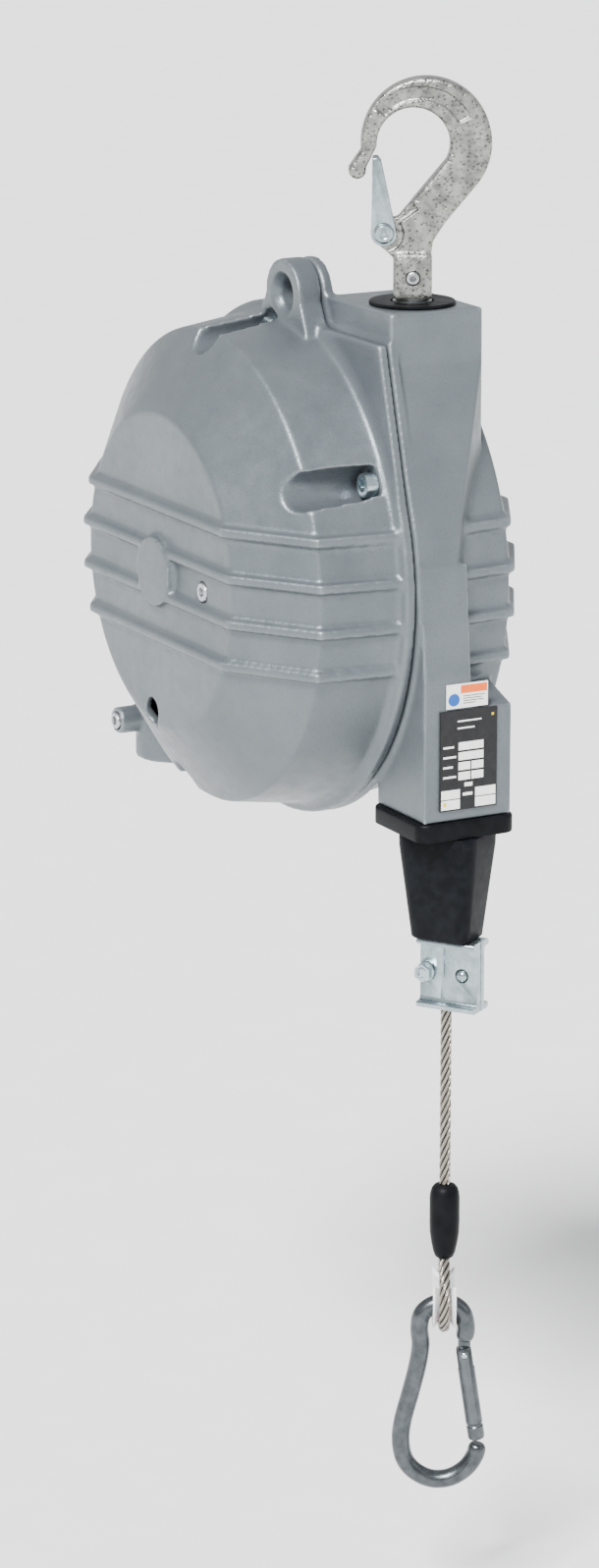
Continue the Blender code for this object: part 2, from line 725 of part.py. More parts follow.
def drum_assembly(casing, alloy, steel, wire):
    drum_axis = empty("drum_axis", casing)
    rim_low = COIL_Y - GAP
    rim_high = COIL_Y + TURNS * TURN_PITCH + 2 * ROPE_R
    small, large = TURN_REST_R - ROPE_R, TURN_FAR_R - ROPE_R
    drum = [
        (SHAFT_R + GAP, 3.0),
        (HUB_R, 3.0),
        (HUB_R, 22.0),
        (small - 5, 22.0),
        (small - 5, rim_low - DRUM_FLANGE_T),
        (small + 2 * ROPE_R + DRUM_FLANGE_H, rim_low - DRUM_FLANGE_T),
        (small + 2 * ROPE_R + DRUM_FLANGE_H, rim_low),
        (small - GAP, rim_low),
        (large - GAP, rim_high),
        (large + 2 * ROPE_R + 1.4, rim_high),
        (large + 2 * ROPE_R + 1.4, rim_high + DRUM_FLANGE_T),
        (large - 5, rim_high + DRUM_FLANGE_T),
        (large - 5, 30.0),
        (HUB_R, 26.0),
        (HUB_R, 48.0),
        (SHAFT_R + GAP, 48.0),
    ]
    made = add("cable_drum", turned(drum, ROUND), drum_axis, alloy)
    key_way = block((-3.0, 2.0, 6.0), (3.0, 30.0, SHAFT_R + 3))
    boolean(made, "DIFFERENCE", [add("hub_keyway", key_way, drum_axis)])
    coil(drum_axis, wire, small, large, rim_low, rim_high)
    front, rear = FRONT_FACE_Y + WALL + 0.4, REAR_FACE_Y - WALL - 0.4
    shaft = [
        (0, front),
        (SHAFT_R - 0.8, front),
        (SHAFT_R, front + 0.8),
        (SHAFT_R, rear - 0.8),
        (SHAFT_R - 0.8, rear),
        (0, rear),
    ]
    shaft = add("drum_shaft", turned(shaft, FINE), drum_axis, steel)
    seat = block((-3.0, 5.0, 6.5), (3.0, 27.0, SHAFT_R + 3))
    boolean(shaft, "DIFFERENCE", [add("shaft_keyway", seat, drum_axis)])
    key = block((-3 + GAP, 5 + GAP, 6.5 + GAP), (3 - GAP, 27 - GAP, SHAFT_R + 3 - GAP))
    add("shaft_key", key, drum_axis, steel, smooth=False)
    anchor = block((-3, -3.5, -2.6), (3, 3.5, 2.6))
    bmesh.ops.bevel(anchor, geom=anchor.edges[:], offset=0.8, segments=1, affect="EDGES")
    add("rope_anchor", anchor, drum_axis, steel, (0, 35, large - 8.2))


def coil(drum_axis, wire, small, large, low, high):
    """The turns wound on the drum, as one solid with a bead for each turn."""
    beads = math.ceil(TURNS) + 1
    outer = []
    for index in range(beads):
        for share, bump in ((0.0, 0.0), (0.5, 0.6 * ROPE_R)):
            run = (index + share) / beads
            radius = small + (large - small) * run + 1.5 * ROPE_R + bump
            outer.append((radius, low + GAP + (high - low - 2 * GAP) * run))
    outer.append((large + 1.5 * ROPE_R, high - GAP))
    profile = [(small, low + GAP), *outer, (large, high - GAP)]
    add("rope_coil", turned(profile, ROUND), drum_axis, wire)


def wheel_outline(twist):
    """Straight-sided teeth round the worm wheel, turned by twist."""
    pitch_r = TEETH * MODULE / 2
    tip, root = pitch_r + 2.1, pitch_r - 2.9
    half = (math.pi * MODULE / 2 - BACKLASH / 2) / 2
    slope = math.tan(math.radians(20))
    points = []
    for tooth in range(TEETH):
        centre = math.tau * tooth / TEETH + twist + math.pi
        for radius, width in (
            (root, -(half + 2.9 * slope)),
            (tip, -(half - 2.1 * slope)),
            (tip, half - 2.1 * slope),
            (root, half + 2.9 * slope),
        ):
            turn = centre + width / radius
            points.append((radius * math.cos(turn), radius * math.sin(turn)))
    return points


def worm_wheel():
    """Teeth slanted to the worm's lead, between the wheel's two faces."""
    pitch_r = TEETH * MODULE / 2
    lead = math.pi * MODULE
    slant = lead / (math.tau * WORM_PITCH_R)
    bm = bmesh.new()
    rows = []
    for side in (-1, 1):
        # the rim on the worm's side rises with Y, which is a turn against +Y there
        twist = -side * (WHEEL_W / 2) * slant / pitch_r
        y = WHEEL_Y + side * WHEEL_W / 2
        rows.append([bm.verts.new((x, y, z)) for x, z in wheel_outline(twist)])
    join_loops(bm, rows)
    return bm


def spring_case(casing, alloy, steel, spring_steel):
    case_axis = empty("case_axis", casing)
    wheel_front = WHEEL_Y - WHEEL_W / 2
    wheel = add("spring_case", worm_wheel(), case_axis, alloy)
    rim = ring(CASE_R - CASE_WALL, CASE_R, CASE_FRONT_Y, wheel_front + 2, ROUND)
    hub = SHAFT_R + 3.6 + GAP
    boolean(wheel, "UNION", [add("case_rim", rim, case_axis)])
    bore = rod(hub, -60, 10, FINE)
    inside = rod(CASE_R - CASE_WALL, wheel_front - 4, WHEEL_Y, ROUND)
    cuts = [add("case_bore", bore, case_axis), add("case_inside", inside, case_axis)]
    boolean(wheel, "DIFFERENCE", cuts)
    lid_low = CASE_FRONT_Y - GAP - 2.0
    lid = ring(SHAFT_R + 2, CASE_R, lid_low, CASE_FRONT_Y - GAP, ROUND)
    add("case_lid", lid, case_axis, alloy)
    spiral(case_axis, spring_steel)
    arbor_low, arbor_high = CASE_FRONT_Y + 1.0, WHEEL_Y - WHEEL_W / 2 - 1.0
    sleeve = ring(SHAFT_R + GAP, 17.5, arbor_low, arbor_high, FINE)
    add("spring_arbor", sleeve, bpy.data.objects["drum_axis"], steel)


def spiral(case_axis, spring_steel):
    """The wound strip, from the arbor out to the wall of its case."""
    low, high = CASE_FRONT_Y + 2.0, WHEEL_Y - WHEEL_W / 2 - 2.0
    start, end = 18.6, CASE_R - CASE_WALL - 1.6
    steps = 16 * SPRING_COILS
    bm = bmesh.new()
    rings = []
    for index in range(steps + 1):
        turn = math.tau * SPRING_COILS * index / steps
        radius = start + (end - start) * index / steps
        spots = []
        for r, y in ((radius, low), (radius + STRIP_T, low), (radius + STRIP_T, high), (radius, high)):
            spots.append(bm.verts.new((r * math.cos(turn), y, r * math.sin(turn))))
        rings.append(spots)
    join_loops(bm, rings)
    add("power_spring", bm, case_axis, spring_steel)


def worm_thread():
    """The thread as one closed helical surface, whose root lies inside the shaft."""
    lead = math.pi * MODULE
    slope = math.tan(math.radians(20))
    half = (lead / 2 - BACKLASH / 2) / 2
    root = WORM_CORE_R - 0.6
    tip = WORM_PITCH_R + 2.1
    foot_half = half + (WORM_PITCH_R - root) * slope
    tip_half = half - 2.1 * slope
    shape = [(-foot_half, root), (-tip_half, tip), (tip_half, tip), (foot_half, root)]
    # a tooth of the wheel faces the worm at rest, so a groove of the thread meets it
    turns = int(WORM_THREAD_H / lead)
    steps = 24
    rows = [
        (lead * (turn - turns / 2 + 0.5) + z, radius)
        for turn in range(turns)
        for z, radius in shape
    ]
    bm = bmesh.new()
    grid = []
    for step in range(steps):
        angle = math.tau * step / steps
        rise = lead * step / steps - lead / 2
        grid.append(
            [
                bm.verts.new((r * math.cos(angle), r * math.sin(angle), z + rise))
                for z, r in rows
            ]
        )
    points = len(shape)
    for step in range(steps):
        for index in range(len(rows) - 1):
            one, two = grid[step][index], grid[step][index + 1]
            if step + 1 < steps:
                three, four = grid[step + 1][index + 1], grid[step + 1][index]
            elif index + points + 1 < len(rows):
                three, four = grid[0][index + points + 1], grid[0][index + points]
            else:
                continue
            bm.faces.new((one, two, three, four))
    open_edges = [e for e in bm.edges if e.is_boundary]
    bmesh.ops.holes_fill(bm, edges=open_edges, sides=0)
    bmesh.ops.triangulate(bm, faces=[f for f in bm.faces if len(f.verts) > 4])
    return bm


def worm(casing, steel):
    axis = empty("worm_axis", casing, (worm_axis_x(), WHEEL_Y, 0))
    low = WORM_BOSS_Z[0] + 1.5
    shaft = [
        (0, low + 6),
        (3.0, low + 6),
        (3.0, low),
        (WORM_CORE_R, low),
        (WORM_CORE_R, 20.5),
        (0, 20.5),
    ]
    made = add("worm_shaft", turned(shaft, 24, axis="Z"), axis, steel)
    boolean(made, "UNION", [add("worm_thread", worm_thread(), axis)])


# ---------------------------------------------------------------- hook


def hook_outline():
    """The forging's outline from the shank round the bowl to the tip and back down the throat."""
    outer = arc(OUTER_CENTRE, OUTER_R, -37, 186, 24)
    inner = arc(INNER_CENTRE, INNER_R, 183, -27, 18)
    ear = arc(LATCH_PIVOT, LATCH_R, 95, 245, 7)
    tip = arc((-22.4, 52.6), 3.6, 170, 375, 7)
    foot = [(-SHANK_R + 1.2, SHANK_H - 4.0), (SHANK_R - 1.2, SHANK_H - 4.0)]
    bend = [(SHANK_R - 0.4, 24.0), (13.0, 31.5)]
    return [*foot, *bend, *outer, *tip, *inner, (-6.0, 33.5), *ear]


def swivel_hook(casing, forged, steel, zinc):
    """The hook and what turns with it. Local X runs across the hook, local Y is its thickness."""
    hook = empty("hook_plane", casing, (HOOK_X, HOOK_Y, HOOK_FOOT), HOOK_TURN)
    body = add("top_hook", rounded_plate(hook_outline(), HOOK_T, HOOK_BEVEL), hook, forged)
    shank = rod(SHANK_R, 0, SHANK_H, FINE, axis="Z")
    boolean(body, "UNION", [add("hook_shank", shank, hook)])
    px, pz = LATCH_PIVOT
    cuts = []
    for side in (-1, 1):
        near, far = sorted((side * EAR_T / 2, side * 20))
        cheek = rod(LATCH_R + 2.8, near, far, FINE, (px, 0, pz))
        cuts.append(add(f"ear_recess_{side + 1}", cheek, hook))
        # room beside the ear for the latch's cheeks as they swing in
        fan = prism([(px, pz), *arc((px, pz), 17.0, 35, 105, 6)], near + 0.01, far)
        cuts.append(add(f"cheek_room_{side + 1}", fan, hook))
    cuts += [
        add("rivet_hole", rod(RIVET_R + GAP, -20, 20, SMALL, (px, 0, pz)), hook),
        add("stud_bore", rod(STUD_R + GAP, -5, 17.0, SMALL, axis="Z"), hook),
        add("pin_hole", rod(PIN_R + GAP, -20, 20, SMALL, (0, 0, 9.5)), hook),
    ]
    boolean(body, "DIFFERENCE", cuts)
    pin = [(1.4, -8.6), (PIN_R - 0.5, -8.6), (PIN_R, -8.0), (PIN_R, 8.0), (PIN_R - 0.5, 8.6), (1.4, 8.6)]
    add("hook_pin", turned(pin, SMALL), hook, steel, (0, 0, 9.5))
    head_low = NECK_TOP - NECK_ROOF - BEARING_T - GAP - STEM_HEAD_T - GAP - HOOK_FOOT
    stem = [
        (0, head_low),
        (STEM_HEAD_R - 1, head_low),
        (STEM_HEAD_R, head_low + 1),
        (STEM_HEAD_R, head_low + STEM_HEAD_T),
        (STEM_R, head_low + STEM_HEAD_T),
        (STEM_R, -GAP),
        (STUD_R, -GAP),
        (STUD_R, 16.5),
        (0, 16.5),
    ]
    stem = add("swivel_stem", turned(stem, FINE, axis="Z"), hook, steel)
    cross = add("stem_cross_hole", rod(PIN_R + GAP, -20, 20, SMALL, (0, 0, 9.5)), hook)
    boolean(stem, "DIFFERENCE", [cross])
    bearing_low = head_low + STEM_HEAD_T + GAP
    bearing = ring(STEM_R + GAP, STEM_HEAD_R, bearing_low, bearing_low + BEARING_T - GAP, axis="Z")
    add("thrust_bearing", bearing, hook, steel)
    half = EAR_T / 2 + GAP + SHEET
    rivet = [
        (0, -half - 1.4),
        (RIVET_R + 1.2, -half - 1.4),
        (RIVET_R + 1.8, -half - GAP),
        (RIVET_R, -half - GAP),
        (RIVET_R, half + GAP),
        (RIVET_R + 1.8, half + GAP),
        (RIVET_R + 1.2, half + 1.4),
        (0, half + 1.4),
    ]
    add("latch_rivet", turned(rivet, SMALL), hook, zinc, (px, 0, pz))
    latch(hook, zinc, half)


def latch(hook, zinc, half):
    """Folded sheet: two cheeks on the rivet, joined by a web along the outer side."""
    pivot = empty("latch_axis", hook, (LATCH_PIVOT[0], 0, LATCH_PIVOT[1]))
    lean = math.radians(90 + LATCH_LEAN)
    along = Vector((math.cos(lean), math.sin(lean)))
    across = Vector((along.y, -along.x))
    tip = along * LATCH_LENGTH
    outline = [
        *arc((0, 0), LATCH_R, 190 + LATCH_LEAN, 350 + LATCH_LEAN, 10),
        tuple(tip + across * 2.0 - along * 2.0),
        tuple(tip + across * 0.8),
        tuple(tip - across * 1.4),
    ]
    made = add("hook_latch", prism(outline, -half, half), pivot, zinc)
    inner = [
        (12.0, -9.0),
        tuple(tip + across * 12.0 + along * 4.0),
        tuple(tip - across * 0.2 + along * 4.0),
        tuple(tip * 0.5 - across * 1.6),
        tuple(tip * 0.25 - across * 2.2),
        (-LATCH_R - 3.0, 5.0),
        (-LATCH_R - 3.0, -9.0),
    ]
    gap = EAR_T / 2 + GAP
    slot = add("latch_slot", prism(inner, -gap, gap), pivot)
    bore = add("latch_bore", rod(RIVET_R + GAP, -20, 20, SMALL), pivot)
    boolean(made, "DIFFERENCE", [slot, bore])


# ---------------------------------------------------------------- rope end


def rope_fall(casing, wire):
    """The rope from the drum to the sleeve: it leans to the guide, then hangs straight."""
    guide = [(84.5, 17.2, -18), (87.6, 17.3, -38), (91.9, 19.6, -60), (94.5, 21.7, -77)]
    lean = through_points([*guide, (ROPE_X, ROPE_Y, -92)], 4)
    drop = SLEEVE_TOP + GAP - lean[-1].z
    steps = 14
    straight = [Vector((ROPE_X, ROPE_Y, lean[-1].z + drop * (i + 1) / steps)) for i in range(steps)]
    tube("rope_fall", lean + straight, ROPE_R, casing, wire)


def bumper_and_clamp(casing, rubber, zinc, steel):
    hang = empty("rope_axis", casing, (ROPE_X, ROPE_Y, 0), CLAMP_TURN)
    top = GUIDE_BOTTOM - GAP - COLLAR_T - GAP
    foot = top - BUMPER_H
    bm = bmesh.new()
    rows = []
    for (wide, deep), z in ((BUMPER_FOOT, foot), (BUMPER_TOP, top)):
        corners = []
        for sx, sy, start in ((1, 1, 0), (-1, 1, 90), (-1, -1, 180), (1, -1, 270)):
            middle = (sx * (wide - 7.0), sy * (deep - 7.0))
            corners += arc(middle, 7.0, start, start + 90, 4)
        rows.append([bm.verts.new((x, y, z)) for x, y in corners])
    join_loops(bm, rows)
    bumper = add("stop_bumper", bm, hang, rubber)
    bore = rod(ROPE_R + GAP, foot - 5, top + 5, SMALL, axis="Z")
    boolean(bumper, "DIFFERENCE", [add("bumper_bore", bore, hang)])
    clamp_top = foot - GAP
    for name, side in (("clamp_plate_front", -1), ("clamp_plate_rear", 1)):
        clamp_plate(name, side, clamp_top, hang, zinc)
    middle_z = clamp_top - CLAMP_H / 2
    clamp_bolt(CLAMP_BOLT_X[0], middle_z, hang, zinc, steel)
    clamp_stud(CLAMP_BOLT_X[1], middle_z, hang, zinc)


def clamp_plate(name, side, top, hang, zinc):
    """A pressed plate with lips at its upper and lower edges and a groove for the rope."""
    low = top - CLAMP_H
    inner = side * GAP
    outer = side * (GAP + CLAMP_T)
    lip = side * (GAP + CLAMP_T + CLAMP_LIP)
    bm = bmesh.new()
    shape = [
        (inner, top),
        (lip, top),
        (lip, top - 2.6),
        (outer, top - 2.6),
        (outer, low + 2.6),
        (lip, low + 2.6),
        (lip, low),
        (inner, low),
    ]
    face = bm.faces.new([bm.verts.new((CLAMP_SHIFT - CLAMP_W / 2, y, z)) for y, z in shape])
    grown = bmesh.ops.extrude_face_region(bm, geom=[face])
    moved = [item for item in grown["geom"] if isinstance(item, bmesh.types.BMVert)]
    bmesh.ops.translate(bm, vec=(CLAMP_W, 0, 0), verts=moved)
    plate = add(name, bm, hang, zinc)
    groove = rod(ROPE_R + GAP, low - 5, top + 5, SMALL, axis="Z")
    cuts = [add(name + "_groove", groove, hang)]
    for index, x in enumerate(CLAMP_BOLT_X):
        hole = rod(BOLT_R + GAP, -20, 20, SMALL, (x, 0, top - CLAMP_H / 2))
        cuts.append(add(f"{name}_hole_{index}", hole, hang))
    boolean(plate, "DIFFERENCE", cuts)


def clamp_bolt(x, z, hang, zinc, steel):
    """Bolt from the front, with its nut behind."""
    face = GAP + CLAMP_T
    bolt = [
        (0, -face - 4.6),
        (3.2, -face - 4.6),
        (4.0, -face - 4.0),
        (4.0, -face - GAP),
        (BOLT_R, -face - GAP),
        (BOLT_R, face + 6.5),
        (0, face + 6.5),
    ]
    add("clamp_bolt", turned(bolt, 12), hang, zinc, (x, 0, z))
    # a six-sided ring's inner flats lie nearer the bolt than its corners
    inner = (BOLT_R + GAP) / math.cos(math.radians(30))
    nut = ring(inner, 4.8, face + GAP, face + 4.5, 6)
    add("clamp_nut", nut, hang, steel, (x, 0, z), smooth=False)


def clamp_stud(x, z, hang, zinc):
    """Stud from behind, whose rounded end stands out at the front."""
    face = GAP + CLAMP_T
    stud = [
        (0, -face - 1.6),
        (1.4, -face - 1.3),
        (BOLT_R, -face),
        (BOLT_R, face + GAP),
        (4.0, face + GAP),
        (4.0, face + 2.6),
        (3.0, face + 3.2),
        (0, face + 3.2),
    ]
    add("clamp_stud", turned(stud, 12), hang, zinc, (x, 0, z))


def eye_arc(out, rise, steps):
    """Points round the eye's lower side, out from the thimble's inner face, with their normals.

    The eye stands in the plane across the snap hook. Both ends rise that many degrees above level.
    """
    low = WIRE_Z - WIRE_R - GAP
    path = []
    for index in range(steps + 1):
        angle = math.radians(rise - (180 + 2 * rise) * index / steps)
        across, up = math.cos(angle), math.sin(angle)
        radius = EYE_R + out
        path.append((radius * across, low + EYE_R + radius * up, across, up))
    return path


def rope_end(casing, black, white, wire):
    hang = empty("eye_axis", casing, (ROPE_X, ROPE_Y, 0), HOOK_TURN)
    foot = SLEEVE_TOP - SLEEVE_H
    sleeve = [
        (0, foot),
        (3.4, foot),
        (5.0, foot + 4),
        (SLEEVE_R, foot + 12),
        (SLEEVE_R, SLEEVE_TOP - 5),
        (5.0, SLEEVE_TOP - 1.6),
        (3.0, SLEEVE_TOP),
        (0, SLEEVE_TOP),
    ]
    add("rope_sleeve", turned(sleeve, FINE, axis="Z"), hang, black)
    half = [(0, 1.2), (1.5, 3.2), (3.4, 4.3), (5.8, EYE_W / 2), (6.0, 4.1), (3.6, 2.7), (2.6, 1.4)]
    section = half + [(out, -side) for out, side in reversed(half)]
    bm = bmesh.new()
    loops = []
    for y, z, ny, nz in eye_arc(0.0, 33.0, 16):
        loops.append([bm.verts.new((side, y + ny * out, z + nz * out)) for out, side in section])
    join_loops(bm, loops)
    add("thimble", bm, hang, white)
    loop = [(0, y, z) for y, z, _, _ in eye_arc(EYE_ROPE, 55.0, 14)]
    loop = [(0, 2.7, foot - 1.4), *loop, (0, -2.7, foot - 1.4)]
    tube("rope_eye", through_points(loop, 3), ROPE_R, hang, wire)


def snap_hook(casing, zinc, steel):
    """Wire bent to a pear, with a gate on a pin. Local X runs across, Z down the hook."""
    swing = empty("snap_axis", casing, (ROPE_X, ROPE_Y, 0), HOOK_TURN)
    bend = [
        (8.5, -321.0),
        (9.4, -315.5),
        (8.0, -309.0),
        (4.2, -305.3),
        (0, WIRE_Z),
        (-5.0, -305.6),
        (-9.2, -309.6),
        (-10.2, -316.0),
        (-9.6, -323.0),
        (-10.8, -332.0),
        (-13.6, -344.0),
        (-16.8, -356.5),
        (-17.8, -365.5),
        (-16.4, -374.0),
        (-12.0, -380.0),
        (-5.0, -383.6),
        (2.8, -383.2),
        (9.6, -379.0),
        (13.6, -373.0),
        (GATE_FOOT[0] + 0.5, GATE_FOOT[1] - 2.2),
    ]
    line = [(spot.x, spot.y) for spot in through_points(bend, 3)]
    body = add("snap_hook", flat_bar(line, WIRE_R, 10), swing, zinc)
    px, pz = GATE_TOP
    tongue = block((px - 2.6, -TONGUE_T / 2, pz - 2.4), (px + 2.6, TONGUE_T / 2, pz + 7.5))
    boolean(body, "UNION", [add("gate_tongue", tongue, swing)])
    pin_r = 1.3
    pin_hole = add("tongue_hole", rod(pin_r + GAP, -20, 20, 12, (px, 0, pz)), swing)
    boolean(body, "DIFFERENCE", [pin_hole])
    add("gate_pin", rod(pin_r, -GATE_R, GATE_R, 12, (px, 0, pz)), swing, steel)
    gate_axis = empty("gate_axis", swing, (px, 0, pz))
    foot = Vector((GATE_FOOT[0] - px, 0, GATE_FOOT[1] - pz))
    lean = math.atan2(foot.x, -foot.z)
    length = foot.length
    bar = rod(GATE_R, -length, 3.4, 12, axis="Z")
    bmesh.ops.rotate(bar, verts=bar.verts, matrix=Matrix.Rotation(-lean, 3, "Y"))
    gate = add("snap_gate", bar, gate_axis, zinc)
    slot = block((-12, -TONGUE_T / 2 - GAP, -6.5), (12, TONGUE_T / 2 + GAP, 12))
    hole = rod(pin_r + GAP, -20, 20, 12)
    boolean(gate, "DIFFERENCE", [add("gate_slot", slot, gate_axis), add("gate_hole", hole, gate_axis)])


def main():
    clear_scene()
    cast = finish("cast_grey", (0.30, 0.33, 0.35), 0.45, 0.6)
    forged = finish("forged_zinc", (0.62, 0.62, 0.60), 0.40, 0.9)
    zinc = finish("bright_zinc", (0.66, 0.70, 0.72), 0.28, 1.0)
    steel = finish("steel", (0.42, 0.43, 0.45), 0.35, 1.0)
    wire = finish("wire_rope", (0.45, 0.43, 0.40), 0.40, 1.0)
    spring_steel = finish("spring_steel", (0.20, 0.22, 0.27), 0.35, 1.0)
    alloy = finish("machined_alloy", (0.60, 0.61, 0.62), 0.35, 0.9)
    bronze = finish("bronze", (0.55, 0.36, 0.16), 0.40, 0.9)
    black = finish("black_plastic", (0.012, 0.012, 0.013), 0.45, 0.0)
    rubber = finish("black_rubber", (0.010, 0.010, 0.012), 0.70, 0.0)
    white = finish("pale_plastic", (0.70, 0.72, 0.72), 0.35, 0.0)
    plate_black = finish("plate_black", (0.015, 0.015, 0.016), 0.30, 0.2)
    paper = finish("label_white", (0.85, 0.85, 0.83), 0.50, 0.0)

    seat = empty("hook_seat")
    casing = empty("casing_frame", seat, (-HOOK_X, -HOOK_Y, -SEAT_Z))
    front_cover(casing, cast)
    main_housing(casing, cast)
    for index, (x, z) in enumerate(screw_spots(), start=1):
        cover_screw(index, x, z, casing, zinc)
    small_fittings(casing, steel, black, bronze)
    rope_fittings(casing, black, white)
    labels(casing, plate_black, paper)
    drum_assembly(casing, alloy, steel, wire)
    spring_case(casing, alloy, steel, spring_steel)
    worm(casing, steel)
    swivel_hook(casing, forged, steel, zinc)
    rope_fall(casing, wire)
    bumper_and_clamp(casing, rubber, zinc, steel)
    rope_end(casing, black, white, wire)
    snap_hook(casing, zinc, steel)


main()
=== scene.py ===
# Spring tool balancer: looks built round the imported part
import json
import math

import bmesh
import bpy
from mathutils import Matrix, Vector

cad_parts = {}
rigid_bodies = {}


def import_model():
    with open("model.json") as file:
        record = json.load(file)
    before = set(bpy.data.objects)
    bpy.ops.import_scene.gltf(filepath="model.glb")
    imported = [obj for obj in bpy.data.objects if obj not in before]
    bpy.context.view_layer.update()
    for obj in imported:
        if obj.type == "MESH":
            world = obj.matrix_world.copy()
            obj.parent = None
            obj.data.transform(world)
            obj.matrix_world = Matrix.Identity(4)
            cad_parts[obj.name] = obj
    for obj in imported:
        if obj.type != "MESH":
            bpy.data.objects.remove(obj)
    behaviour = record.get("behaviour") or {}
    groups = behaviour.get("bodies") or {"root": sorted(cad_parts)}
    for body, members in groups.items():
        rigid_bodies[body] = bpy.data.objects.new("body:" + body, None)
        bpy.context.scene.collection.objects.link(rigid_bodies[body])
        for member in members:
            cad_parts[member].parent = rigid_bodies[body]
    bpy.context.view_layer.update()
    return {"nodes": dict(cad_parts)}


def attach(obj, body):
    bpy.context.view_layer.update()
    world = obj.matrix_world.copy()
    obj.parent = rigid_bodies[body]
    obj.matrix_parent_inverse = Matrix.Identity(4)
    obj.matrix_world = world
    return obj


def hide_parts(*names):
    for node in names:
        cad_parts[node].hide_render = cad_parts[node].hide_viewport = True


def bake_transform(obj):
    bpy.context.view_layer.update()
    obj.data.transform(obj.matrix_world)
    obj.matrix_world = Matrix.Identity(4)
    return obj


for leftover in list(bpy.data.objects):
    bpy.data.objects.remove(leftover)
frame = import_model()

# millimetres from the drum's centre, with the front cover towards -Y
hangPoint = Vector((62.0, 22.5, 192.9))
mm = 0.001
# hook and rope clamp are turned about their own upright lines
hookTurn = math.radians(62)
clampTurn = math.radians(34)
ropeLine = Vector((95.0, 22.0, 0.0))
stemLine = Vector((62.0, 22.5, 0.0))
hookLine = Vector((62.0, 22.5, 115.4))
upright = {"X": Vector((1, 0, 0)), "Y": Vector((0, 1, 0)), "Z": Vector((0, 0, 1))}


def at(x, y, z):
    return (Vector((x, y, z)) - hangPoint) * mm


# the camera stands to the right and a little above, and the sight line passes beside the centre
camera = {
    "turn": 62, "tilt": 15, "distance": 2.05, "lens": 112.7, "sensor": 36, "reach": 60,
    "centre": (0, -3, 0), "aside": 0.00615, "below": 0.09512,
}


def aimCamera():
    turn, tilt = math.radians(camera["turn"]), math.radians(camera["tilt"])
    right = Vector((math.cos(turn), math.sin(turn), 0))
    ahead = Vector((
        -math.sin(turn) * math.cos(tilt), math.cos(turn) * math.cos(tilt), -math.sin(tilt),
    ))
    above = right.cross(ahead)
    data = bpy.data.cameras.new("camera")
    data.lens = camera["lens"]
    data.sensor_width = camera["sensor"]
    data.clip_end = camera["reach"]
    eye = bpy.data.objects.new("camera", data)
    bpy.context.scene.collection.objects.link(eye)
    look = at(*camera["centre"]) + right * camera["aside"] - above * camera["below"]
    turned = Matrix((right, above, -ahead)).transposed().to_4x4()
    turned.translation = look - ahead * camera["distance"]
    eye.matrix_world = turned
    bpy.context.scene.camera = eye


aimCamera()
print("camera placed")


# working by hand: choose, edit, apply
def clearChoice():
    if bpy.context.mode != "OBJECT":
        bpy.ops.object.mode_set(mode="OBJECT")
    bpy.ops.object.select_all(action="DESELECT")


def take(piece):
    clearChoice()
    piece.select_set(True)
    bpy.context.view_layer.objects.active = piece
    return piece


def edit(piece):
    take(piece)
    bpy.ops.object.mode_set(mode="EDIT")
    bpy.ops.mesh.select_mode(type="VERT")
    bpy.ops.mesh.select_all(action="DESELECT")


def leave(name=None):
    bpy.ops.object.mode_set(mode="OBJECT")
    piece = bpy.context.object
    if name:
        piece.name = name
        piece.data.name = name
    return piece


def applied(piece):
    take(piece)
    for change in [m.name for m in piece.modifiers]:
        bpy.ops.object.modifier_apply(modifier=change)
    return piece


def outwards():
    bpy.ops.mesh.select_all(action="SELECT")
    bpy.ops.mesh.normals_make_consistent(inside=False)


def chain(points):
    clearChoice()
    bpy.ops.mesh.primitive_plane_add(size=0.2, location=points[0])
    bpy.ops.object.transform_apply(location=True, rotation=False, scale=False)
    bpy.ops.object.mode_set(mode="EDIT")
    bpy.ops.mesh.select_mode(type="VERT")
    bpy.ops.mesh.select_all(action="SELECT")
    bpy.ops.mesh.merge(type="CENTER")
    for before, after in zip(points, points[1:]):
        step = Vector(after) - Vector(before)
        bpy.ops.mesh.extrude_vertices_move(TRANSFORM_OT_translate={"value": tuple(step)})
    bpy.ops.mesh.select_all(action="SELECT")


def plate(name, points, push):
    chain(points)
    bpy.ops.mesh.edge_face_add()
    bpy.ops.mesh.extrude_region_move(TRANSFORM_OT_translate={"value": push})
    outwards()
    return leave(name)


def prism(name, outline, low, high):
    return plate(name, [(x, low, z) for x, z in outline], (0, high - low, 0))


def spun(name, section, centre=(0, 0, 0), axis="Y", steps=96):
    middle = Vector(centre)
    across = upright["Y" if axis == "X" else "X"]
    chain([middle + across * r + upright[axis] * a for r, a in section])
    bpy.ops.mesh.spin(
        steps=steps, angle=2 * math.pi, center=tuple(middle), axis=tuple(upright[axis]),
    )
    bpy.ops.mesh.select_all(action="SELECT")
    bpy.ops.mesh.remove_doubles(threshold=0.002)
    outwards()
    return leave(name)


def rod(name, radius, low, high, centre=(0, 0, 0), axis="Y", steps=48):
    return spun(name, [(0, low), (radius, low), (radius, high), (0, high)], centre, axis, steps)


def block(name, low, high):
    clearChoice()
    low, high = Vector(low), Vector(high)
    bpy.ops.mesh.primitive_cube_add(size=1, location=(low + high) / 2, scale=high - low)
    bpy.ops.object.transform_apply(location=True, rotation=True, scale=True)
    piece = bpy.context.object
    piece.name = name
    return piece


